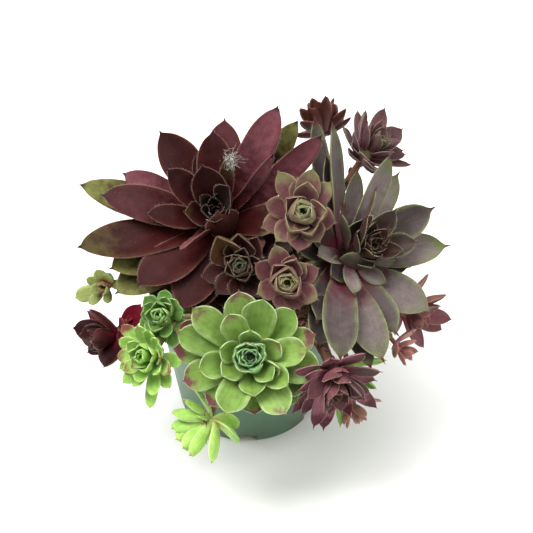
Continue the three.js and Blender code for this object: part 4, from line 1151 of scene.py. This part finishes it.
def dryLeafSkin(look):
    # Withered leaf: papery, wrinkled lengthways, pale tan with darker ribs and edges.
    material, tree = newMaterial("driedLeaf")
    edge = addNode(tree, "ShaderNodeAttribute", attribute_name="edge").outputs["Fac"]
    grain = addNode(tree, "ShaderNodeAttribute", attribute_name="grain").outputs["Vector"]
    ribs = addNode(tree, "ShaderNodeMapping", {"Vector": grain, "Scale": look["ribs"]}).outputs["Vector"]
    wrinkle = addNode(tree, "ShaderNodeTexNoise", {
        "Vector": ribs, "Scale": 1.0, "Detail": 4.0, "Roughness": 0.65,
    }).outputs["Fac"]
    cloud = addNode(tree, "ShaderNodeTexNoise", {
        "Vector": grain, "Scale": look["clouds"], "Detail": 3.0,
    }).outputs["Fac"]
    share = addNode(tree, "ShaderNodeMath", {0: wrinkle, 1: cloud}, operation="ADD").outputs["Value"]
    share = addNode(tree, "ShaderNodeMapRange", {
        "Value": share, "From Min": 0.75, "From Max": 1.25,
    }).outputs["Result"]
    brink = addNode(tree, "ShaderNodeMath", {0: edge, 1: look["edgeDark"]}, operation="POWER").outputs["Value"]
    color = linear(look["dark"])
    for amount, over in ((share, "light"), (brink, "dark")):
        color = addNode(tree, "ShaderNodeMix", {
            0: amount, 6: color, 7: linear(look[over]),
        }, data_type="RGBA").outputs[2]
    bump = addNode(tree, "ShaderNodeBump", {
        "Height": wrinkle, "Distance": look["relief"], "Strength": look["reliefStrength"],
    })
    shader = addNode(tree, "ShaderNodeBsdfPrincipled", {
        "Base Color": color, "Roughness": look["roughness"], "IOR": look["ior"],
        "Normal": bump.outputs["Normal"],
    })
    addNode(tree, "ShaderNodeOutputMaterial", {"Surface": shader.outputs["BSDF"]})
    return material


def addDryLeaves(basket, look, rosette, rng):
    # old leaves that hang shrivelled under a crown, round its stem
    stem = rosette["stem"]
    top = np.array(rosette["at"], float) - 0.45 * rosette["crown"][1] * facing(rosette["face"])[2]
    foot = np.array([*stem["foot"], stemLook["mixLevel"] + 2.0])
    count, around = look["counts"][rosette["node"]], look["around"]
    out = np.array([0.0, 0.0, 1.0])
    for i in range(count):
        share = 0.1 + 0.8 * i / count
        turn = math.radians(i * goldenAngle + rng.uniform(*look["turn"]))
        away = np.array([math.cos(turn), math.sin(turn), 0.0])
        plan = {
            "start": math.radians(rng.uniform(*look["lift"])), "length": rng.uniform(*look["length"]),
            "width": rng.uniform(*look["width"]), "form": leafForms["slender"],
            "roll": math.radians(rng.uniform(*look["roll"])), "arc": math.radians(rng.uniform(*look["bend"])),
            "cup": rng.uniform(*look["cup"]),
            "origin": top * (1 - share) + foot * share + away * stem["radius"] * 0.6,
            "along": away, "out": out, "across": np.cross(out, away),
        }
        t, points, side, normal, half, _ = leafSkeleton(plan, look["sections"], rng)
        ripple = look["ripple"] * np.sin(t * rng.uniform(8, 16) + rng.uniform(0, 6))[:, None] * normal
        angle = 2 * np.pi * np.arange(around) / around
        x, z = np.cos(angle), np.sin(angle)
        fold = plan["cup"] * half[:, None] * np.abs(x[None, :]) ** 1.5 + 0.5 * look["thickness"] * z[None, :]
        skin = (points + ripple)[:, None, :] + side[:, None, :] * (x[None, :] * half[:, None])[:, :, None]
        skin = skin + normal[:, None, :] * fold[:, :, None]
        ends = leafSpine(plan, np.array([-0.1, 1.0]))[0]
        across = np.concatenate([(x[None, :] * half[:, None]).ravel(), [0.0, 0.0]])
        lengths = np.concatenate([np.repeat(t, around), [0.0, 1.0]]) * plan["length"]
        addPatch(
            basket, np.concatenate([skin.reshape(-1, 3), ends]), ringFaces(len(t), around),
            np.stack([across, lengths, np.full(len(lengths), 9.0 * i)], 1),
            edge=np.concatenate([np.tile(np.abs(x), len(t)), [0.0, 0.0]]), tone=rng.random(),
        )


rootLook = {
    "count": 34, "length": (2, 7), "radius": 0.42,  # mm
    "taper": 0.75,                  # share of the radius that a root loses towards its tip
    "start": 2.5, "depth": 1.5,     # mm from the neck's middle, outwards and towards the leaves
    "wriggle": (2, 6),
}


def addRoots(basket, look, rosette):
    # dry roots that a hanging chick puts out at its neck
    rng = random.Random(21)
    right, up, out = facing(rosette["face"])
    middle = np.array(rosette["at"], float) + look["depth"] * out
    for _ in range(look["count"]):
        turn = rng.uniform(0, 2 * math.pi)
        way = math.cos(turn) * right + math.sin(turn) * up + rng.uniform(-0.3, 0.5) * out
        steps = np.linspace(0, 1, 9)[:, None]
        length = rng.uniform(*look["length"])
        curl = np.array([rng.gauss(0, 1) for _ in range(3)])
        bend = 0.3 * length * np.sin(steps * rng.uniform(*look["wriggle"])) * steps
        line = middle + way * look["start"] + way * length * steps + curl * bend * 0.5
        radii = look["radius"] * (1 - look["taper"] * steps[:, 0])
        addTube(basket, line, radii, 5, edge=1.0, tone=rng.random())


dryRng = random.Random(3)
dryBasket = newBasket()
for hen in (darkHen, greyHen, greenHen):
    addDryLeaves(dryBasket, dryLook, hen, dryRng)
addRoots(dryBasket, rootLook, limeChickHanging)
makePiece(dryBasket, "dry_leaves_and_roots", dryLeafSkin(dryLook))
print("dry leaves and roots:", len(dryBasket["points"]))

potLook = {
    "height": 88, "baseRadius": 36, "shoulderRadius": 47, "rimRadius": 51, "rimBand": 10, "ledge": 2,
    "wall": 1.5, "drainSlots": 6, "slotWidth": 9, "slotHeight": 4.5, "slotReach": 5, "slotRound": 1.2,
    "around": 144, "cornerSteps": 5, "sharpAngle": 32,
    "color": "#4c6c52", "worn": "#6c8870", "dirt": "#4a3c2c",
    "roughness": 0.36, "roughnessDrift": 0.14, "ior": 1.49, "glow": 0.04, "glowReach": 1.0 * mm,
    "grainSize": 0.6,       # mm, the mould's fine texture
    "drawLines": 2.4,       # mm between faint lines where the part left its mould
    "cloudSize": 1 / 0.045,  # mm across a patch of wear or dust, about 22
    "grainDepth": 0.05 * mm, "grainStrength": 0.7,
    "wornShare": 0.25, "dirtShare": 0.45, "dirtHeight": 22 * mm,  # dust on the lowest part
}


def roundedProfile(corners, steps):
    # (x, z, radius) corners joined by straight runs, each corner turned on an arc of its radius
    line = [np.array(corners[0][:2], float)]
    for before, here, after in zip(corners, corners[1:], corners[2:]):
        p = np.array(here[:2], float)
        a = np.array(before[:2], float) - p
        b = np.array(after[:2], float) - p
        reachA, reachB = np.linalg.norm(a), np.linalg.norm(b)
        cut = min(here[2], 0.45 * reachA, 0.45 * reachB)
        start, end = p + a / reachA * cut, p + b / reachB * cut
        for i in range(steps + 1):
            u = i / steps
            line.append((1 - u) ** 2 * start + 2 * u * (1 - u) * p + u ** 2 * end)
    line.append(np.array(corners[-1][:2], float))
    return np.array(line)


def lathe(basket, profile, around):
    # a closed round body whose profile starts and ends on the axis
    angles = 2 * np.pi * np.arange(around) / around
    rings = [
        np.stack([r * np.cos(angles), r * np.sin(angles), np.full(around, z)], 1) for r, z in profile[1:-1]
    ]
    ends = np.array([[0, 0, profile[0][1]], [0, 0, profile[-1][1]]])
    addPatch(basket, np.concatenate(rings + [ends]), ringFaces(len(rings), around))


def potPlastic(look):
    # Polypropylene, injection moulded: satin and even, with a fine mould grain, faint draw lines
    # and soil dust that clings low down.
    material, tree = newMaterial("mouldedPolypropylene")
    place = addNode(tree, "ShaderNodeNewGeometry").outputs["Position"]
    size = addNode(tree, "ShaderNodeSeparateXYZ", {0: place})
    turn = addNode(tree, "ShaderNodeMath", {
        0: size.outputs["Y"], 1: size.outputs["X"],
    }, operation="ARCTAN2").outputs["Value"]
    values = {"height": size.outputs["Z"]}
    values["grain"] = addNode(tree, "ShaderNodeTexNoise", {
        "Vector": place, "Scale": 1 / (look["grainSize"] * mm), "Detail": 2.0,
    }).outputs["Fac"]
    values["cloud"] = addNode(tree, "ShaderNodeTexNoise", {
        "Vector": place, "Scale": 1 / (look["cloudSize"] * mm), "Detail": 5.0,
    }).outputs["Fac"]
    values["lines"] = addNode(tree, "ShaderNodeTexNoise", {
        "W": turn, "Scale": look["baseRadius"] / look["drawLines"], "Detail": 2.0,
    }, noise_dimensions="1D").outputs["Fac"]
    addValues(tree, values, (
        ("worn", "FADE", "cloud", (0.5, 0.75, 0.0, look["wornShare"])),
        ("low", "FADE", "height", (look["dirtHeight"], 0.0)),
        ("dusty", "FADE", "cloud", (0.42, 0.62, 0.0, look["dirtShare"])),
        ("dirt", "MULTIPLY", "low", "dusty"),
        ("grainRelief", "MULTIPLY", "grain", 0.5),
        ("lineRelief", "MULTIPLY", "lines", 0.6),
        ("relief", "ADD", "grainRelief", "lineRelief"),
        ("gloss", "FADE", "cloud", (0.3, 0.7, look["roughness"], look["roughness"] + look["roughnessDrift"])),
    ))
    color = linear(look["color"])
    for share in ("worn", "dirt"):
        color = addNode(tree, "ShaderNodeMix", {
            0: values[share], 6: color, 7: linear(look[share]),
        }, data_type="RGBA").outputs[2]
    bump = addNode(tree, "ShaderNodeBump", {
        "Height": values["relief"], "Distance": look["grainDepth"], "Strength": look["grainStrength"],
    })
    shader = addNode(tree, "ShaderNodeBsdfPrincipled", {
        "Base Color": color, "Roughness": values["gloss"], "IOR": look["ior"],
        "Normal": bump.outputs["Normal"],
        "Subsurface Weight": look["glow"], "Subsurface Scale": look["glowReach"],
    })
    addNode(tree, "ShaderNodeOutputMaterial", {"Surface": shader.outputs["BSDF"]})
    return material


def makePot(look):
    ledgeLevel = look["height"] - look["rimBand"]
    slope = (look["shoulderRadius"] - look["baseRadius"]) / ledgeLevel
    wall, shoulder, rim = look["wall"], look["shoulderRadius"], look["rimRadius"]
    corners = [  # radius, height and how round the corner is
        (0, 0, 0),
        (look["baseRadius"] - 4, 0, 0.3),
        (look["baseRadius"], 0, 1.4),
        (shoulder, ledgeLevel, 0.5),
        (shoulder + look["ledge"], ledgeLevel, 0.7),
        (rim - 0.25, look["height"] - 1.9, 0.4),
        (rim, look["height"] - 1.5, 0.4),
        (rim, look["height"], 0.7),
        (rim - wall, look["height"], 0.6),
        (shoulder - wall, ledgeLevel - wall, 2.0),
        (look["baseRadius"] - wall + slope * wall, wall, 1.2),
        (0, wall, 0),
    ]
    basket = newBasket()
    lathe(basket, roundedProfile(corners, look["cornerSteps"]), look["around"])
    pot = makePiece(basket, "nursery_pot", potPlastic(look), "pot")
    cutters = []
    for i in range(look["drainSlots"]):
        turn = 2 * math.pi * (i + 0.5) / look["drainSlots"]
        bpy.ops.mesh.primitive_cube_add(size=1, location=(
            look["baseRadius"] * mm * math.cos(turn), look["baseRadius"] * mm * math.sin(turn), 0,
        ))
        cutter = bpy.context.object
        cutter.rotation_euler = (0, 0, turn)
        cutter.scale = (2 * look["slotReach"] * mm, look["slotWidth"] * mm, 2 * look["slotHeight"] * mm)
        bevel = cutter.modifiers.new("round", "BEVEL")
        bevel.width, bevel.segments = look["slotRound"] * mm, 4
        slot = pot.modifiers.new("slot", "BOOLEAN")
        slot.operation, slot.solver, slot.object = "DIFFERENCE", "EXACT", cutter
        cutters.append(cutter)
    bpy.context.view_layer.update()
    cut = bpy.data.meshes.new_from_object(pot.evaluated_get(bpy.context.evaluated_depsgraph_get()))
    pot.modifiers.clear()
    pot.data = cut
    for cutter in cutters:
        bpy.data.objects.remove(cutter)
    cut.set_sharp_from_angle(angle=math.radians(look["sharpAngle"]))
    print("pot faces:", len(cut.polygons))


makePot(potLook)

mixLook = {
    "level": 78, "crown": 1.8, "dip": 2.5, "clearance": 0.3, "around": 120, "rings": 36,
    "moundBend": 0.4, "moundEdge": 0.86,  # shares of the radius where the mound bends, and where it dips
    "moundMiddle": 0.6,                   # share of the crown's height that is left at the bend
    "peat": "#2c1d14", "fibre": "#5a4028", "bark": "#6b4a30", "perlite": "#d9d4c8",
    "roughness": 0.92, "ior": 1.4, "relief": 0.5 * mm, "reliefStrength": 0.9,
    "gritSize": 1 / 0.9, "fibreSize": 1 / 0.26,  # mm, about 1.1 and 3.8
    "lump": 1.1,                         # mm that the lumps stand out of the mound
    "lumps": ((0.22, 0.5), (0.55, 0.35), (1.3, 0.15)),  # waves to the mm, and share of the height
    "sink": 0.5,                         # mm that the mound lies under its crumbs
    "crumbs": 1500, "perliteShare": 0.12, "crumbSize": (0.7, 2.3), "crumbFlat": (0.35, 0.8),
    "stemGap": 1.2, "wallGap": 1.5,
}


def mixTop(look, radius, reach):
    # the mound's height at a distance from the middle
    share, bend, edge, middle = radius / reach, look["moundBend"], look["moundEdge"], look["moundMiddle"]
    if share < bend:
        return look["level"] + blend((1.0, middle), share / bend) * look["crown"]
    if share < edge:
        return look["level"] + blend((middle, 0.0), (share - bend) / (edge - bend)) * look["crown"]
    return look["level"] - (share - edge) / (1 - edge) * look["dip"]


def pottingSoil(look):
    # Peat and composted bark with perlite, crumbled: dark, matt and rough, with pale grains.
    material, tree = newMaterial("peatPottingMix")
    tone = addNode(tree, "ShaderNodeAttribute", attribute_name="tone").outputs["Fac"]
    white = addNode(tree, "ShaderNodeAttribute", attribute_name="pale").outputs["Fac"]
    place = addNode(tree, "ShaderNodeNewGeometry").outputs["Position"]
    fine = addNode(tree, "ShaderNodeTexNoise", {
        "Vector": place, "Scale": 1 / (look["gritSize"] * mm), "Detail": 6.0, "Roughness": 0.7,
    }).outputs["Fac"]
    coarse = addNode(tree, "ShaderNodeTexNoise", {
        "Vector": place, "Scale": 1 / (look["fibreSize"] * mm), "Detail": 3.0,
    }).outputs["Fac"]
    values = {"coarse": coarse}
    addValues(tree, values, [("fibre", "FADE", "coarse", (0.35, 0.7))])
    color = linear(look["peat"])
    for share, over in ((values["fibre"], "fibre"), (tone, "bark"), (white, "perlite")):
        color = addNode(tree, "ShaderNodeMix", {
            0: share, 6: color, 7: linear(look[over]),
        }, data_type="RGBA").outputs[2]
    bump = addNode(tree, "ShaderNodeBump", {
        "Height": fine, "Distance": look["relief"], "Strength": look["reliefStrength"],
    })
    shader = addNode(tree, "ShaderNodeBsdfPrincipled", {
        "Base Color": color, "Roughness": look["roughness"], "IOR": look["ior"],
        "Normal": bump.outputs["Normal"],
    })
    addNode(tree, "ShaderNodeOutputMaterial", {"Surface": shader.outputs["BSDF"]})
    return material


def makeMix(look, pot, feet):
    rng = random.Random(11)
    slope = (pot["shoulderRadius"] - pot["baseRadius"]) / (pot["height"] - pot["rimBand"])
    edge = pot["baseRadius"] - pot["wall"] - 1.2 * look["clearance"]
    top = look["level"] - look["dip"]
    reach = edge + slope * top
    floor = pot["wall"] + look["clearance"]
    angles = 2 * np.pi * np.arange(look["around"]) / look["around"]
    rings = []
    base = edge + slope * floor
    for radius, level in ((base - 1, floor), (base, floor + 1), (reach, top - 1)):
        rings.append([(radius * math.cos(a), radius * math.sin(a), level) for a in angles])
    for i in range(look["rings"]):
        radius = reach * (1 - i / look["rings"]) - 0.4
        ring = []
        for a in angles:
            x, y = radius * math.cos(a), radius * math.sin(a)
            lump = sum(share * noise.noise(Vector((x, y, 0)) * scale) for scale, share in look["lumps"])
            ring.append((x, y, mixTop(look, radius, reach) - look["sink"] + look["lump"] * lump))
        rings.append(ring)
    ends = np.array([[0, 0, floor], [0, 0, mixTop(look, 0, reach) - look["sink"]]])
    points = np.concatenate([np.array(ring) for ring in rings] + [ends])
    basket = newBasket()
    addPatch(basket, points, ringFaces(len(rings), look["around"]))
    soil = pottingSoil(look)
    makePiece(basket, "potting_mix_mound", soil, "potting_mix")

    crumbs = newBasket()
    pebble = bmesh.new()
    bmesh.ops.create_icosphere(pebble, subdivisions=1, radius=1)
    solid = [v.co.copy() for v in pebble.verts]
    faces = [tuple(v.index for v in face.verts) for face in pebble.faces]
    pebble.free()
    for _ in range(look["crumbs"]):
        radius = (reach - look["wallGap"]) * math.sqrt(rng.random())
        turn = rng.uniform(0, 2 * math.pi)
        x, y = radius * math.cos(turn), radius * math.sin(turn)
        if any(math.hypot(x - foot[0], y - foot[1]) < clear + look["stemGap"] for foot, clear in feet):
            continue
        white = rng.random() < look["perliteShare"]
        size = rng.uniform(*look["crumbSize"]) * (0.8 if white else 1.0)
        flat = 1.0 if white else rng.uniform(*look["crumbFlat"])
        turnIt = Vector([rng.uniform(-1, 1) for _ in range(3)]).to_track_quat("Z", "Y")
        points = []
        for v in solid:
            p = turnIt @ Vector((v.x, v.y * flat, v.z * flat * 0.8)) * size * rng.uniform(0.38, 0.6)
            points.append((p.x + x, p.y + y, p.z + mixTop(look, radius, reach) + 0.1 * size))
        addPatch(crumbs, np.array(points), faces, tone=rng.random() ** 2, pale=1.0 if white else 0.0)
    makePiece(crumbs, "potting_mix_crumbs", soil, None, smooth=False)
    print("potting mix crumbs:", len(crumbs["points"]))


makeMix(mixLook, potLook, feet)

studioLook = {
    "paper": "#f8f8f6", "paperRoughness": 0.9, "paperSize": 4.0,  # metres
    "air": "#f7f7f5", "airStrength": 0.45,
    "pitch": 43.0, "distance": 900.0, "lookAt": (9.5, 32.3, 60.0),
    "sensor": 36.0, "lens": 36 * 1720 / 533,  # mm
    "lampsAim": (0, 0, 0.07),
    "lamps": (  # name, place and size in metres, watts
        ("softboxKey", (-0.6, -0.1, 1.2), 0.7, 22.0),
        ("softboxFill", (0.95, -0.5, 0.9), 0.9, 7.0),
        ("softboxTop", (0.2, 0.1, 1.4), 1.0, 12.0),
    ),
}


def makeStudio(look):
    pitch = math.radians(look["pitch"])
    ahead = Vector((0.0, math.cos(pitch), -math.sin(pitch)))
    camera = bpy.data.objects.new("camera", bpy.data.cameras.new("camera"))
    camera.data.sensor_width, camera.data.lens = look["sensor"], look["lens"]
    camera.location = (Vector(look["lookAt"]) - ahead * look["distance"]) * mm
    camera.rotation_euler = ahead.to_track_quat("-Z", "Y").to_euler()
    bpy.context.scene.collection.objects.link(camera)
    bpy.context.scene.camera = camera

    bpy.ops.mesh.primitive_plane_add(size=look["paperSize"], location=(0, 0, -0.05 * mm))
    floor = bpy.context.object
    floor.name = "floor"
    # Seamless paper backdrop: matt and pale, so it takes only a soft shadow.
    material, tree = newMaterial("mattePaper")
    shader = addNode(tree, "ShaderNodeBsdfPrincipled", {
        "Base Color": linear(look["paper"]), "Roughness": look["paperRoughness"],
    })
    addNode(tree, "ShaderNodeOutputMaterial", {"Surface": shader.outputs["BSDF"]})
    floor.data.materials.append(material)

    world = bpy.data.worlds.new("studioAir")
    bpy.context.scene.world = world
    world.use_nodes = True
    air = world.node_tree.nodes["Background"].inputs
    air["Color"].default_value, air["Strength"].default_value = linear(look["air"]), look["airStrength"]
    for name, place, size, power in look["lamps"]:
        lamp = bpy.data.objects.new(name, bpy.data.lights.new(name, "AREA"))
        lamp.data.size, lamp.data.energy = size, power
        lamp.location = place
        aim = Vector(look["lampsAim"]) - Vector(place)
        lamp.rotation_euler = aim.to_track_quat("-Z", "Y").to_euler()
        bpy.context.scene.collection.objects.link(lamp)
    print("studio: camera, floor and", len(look["lamps"]), "lamps")


makeStudio(studioLook)
bpy.context.scene.view_settings.view_transform = "Standard"
bpy.context.scene.view_settings.look = "None"
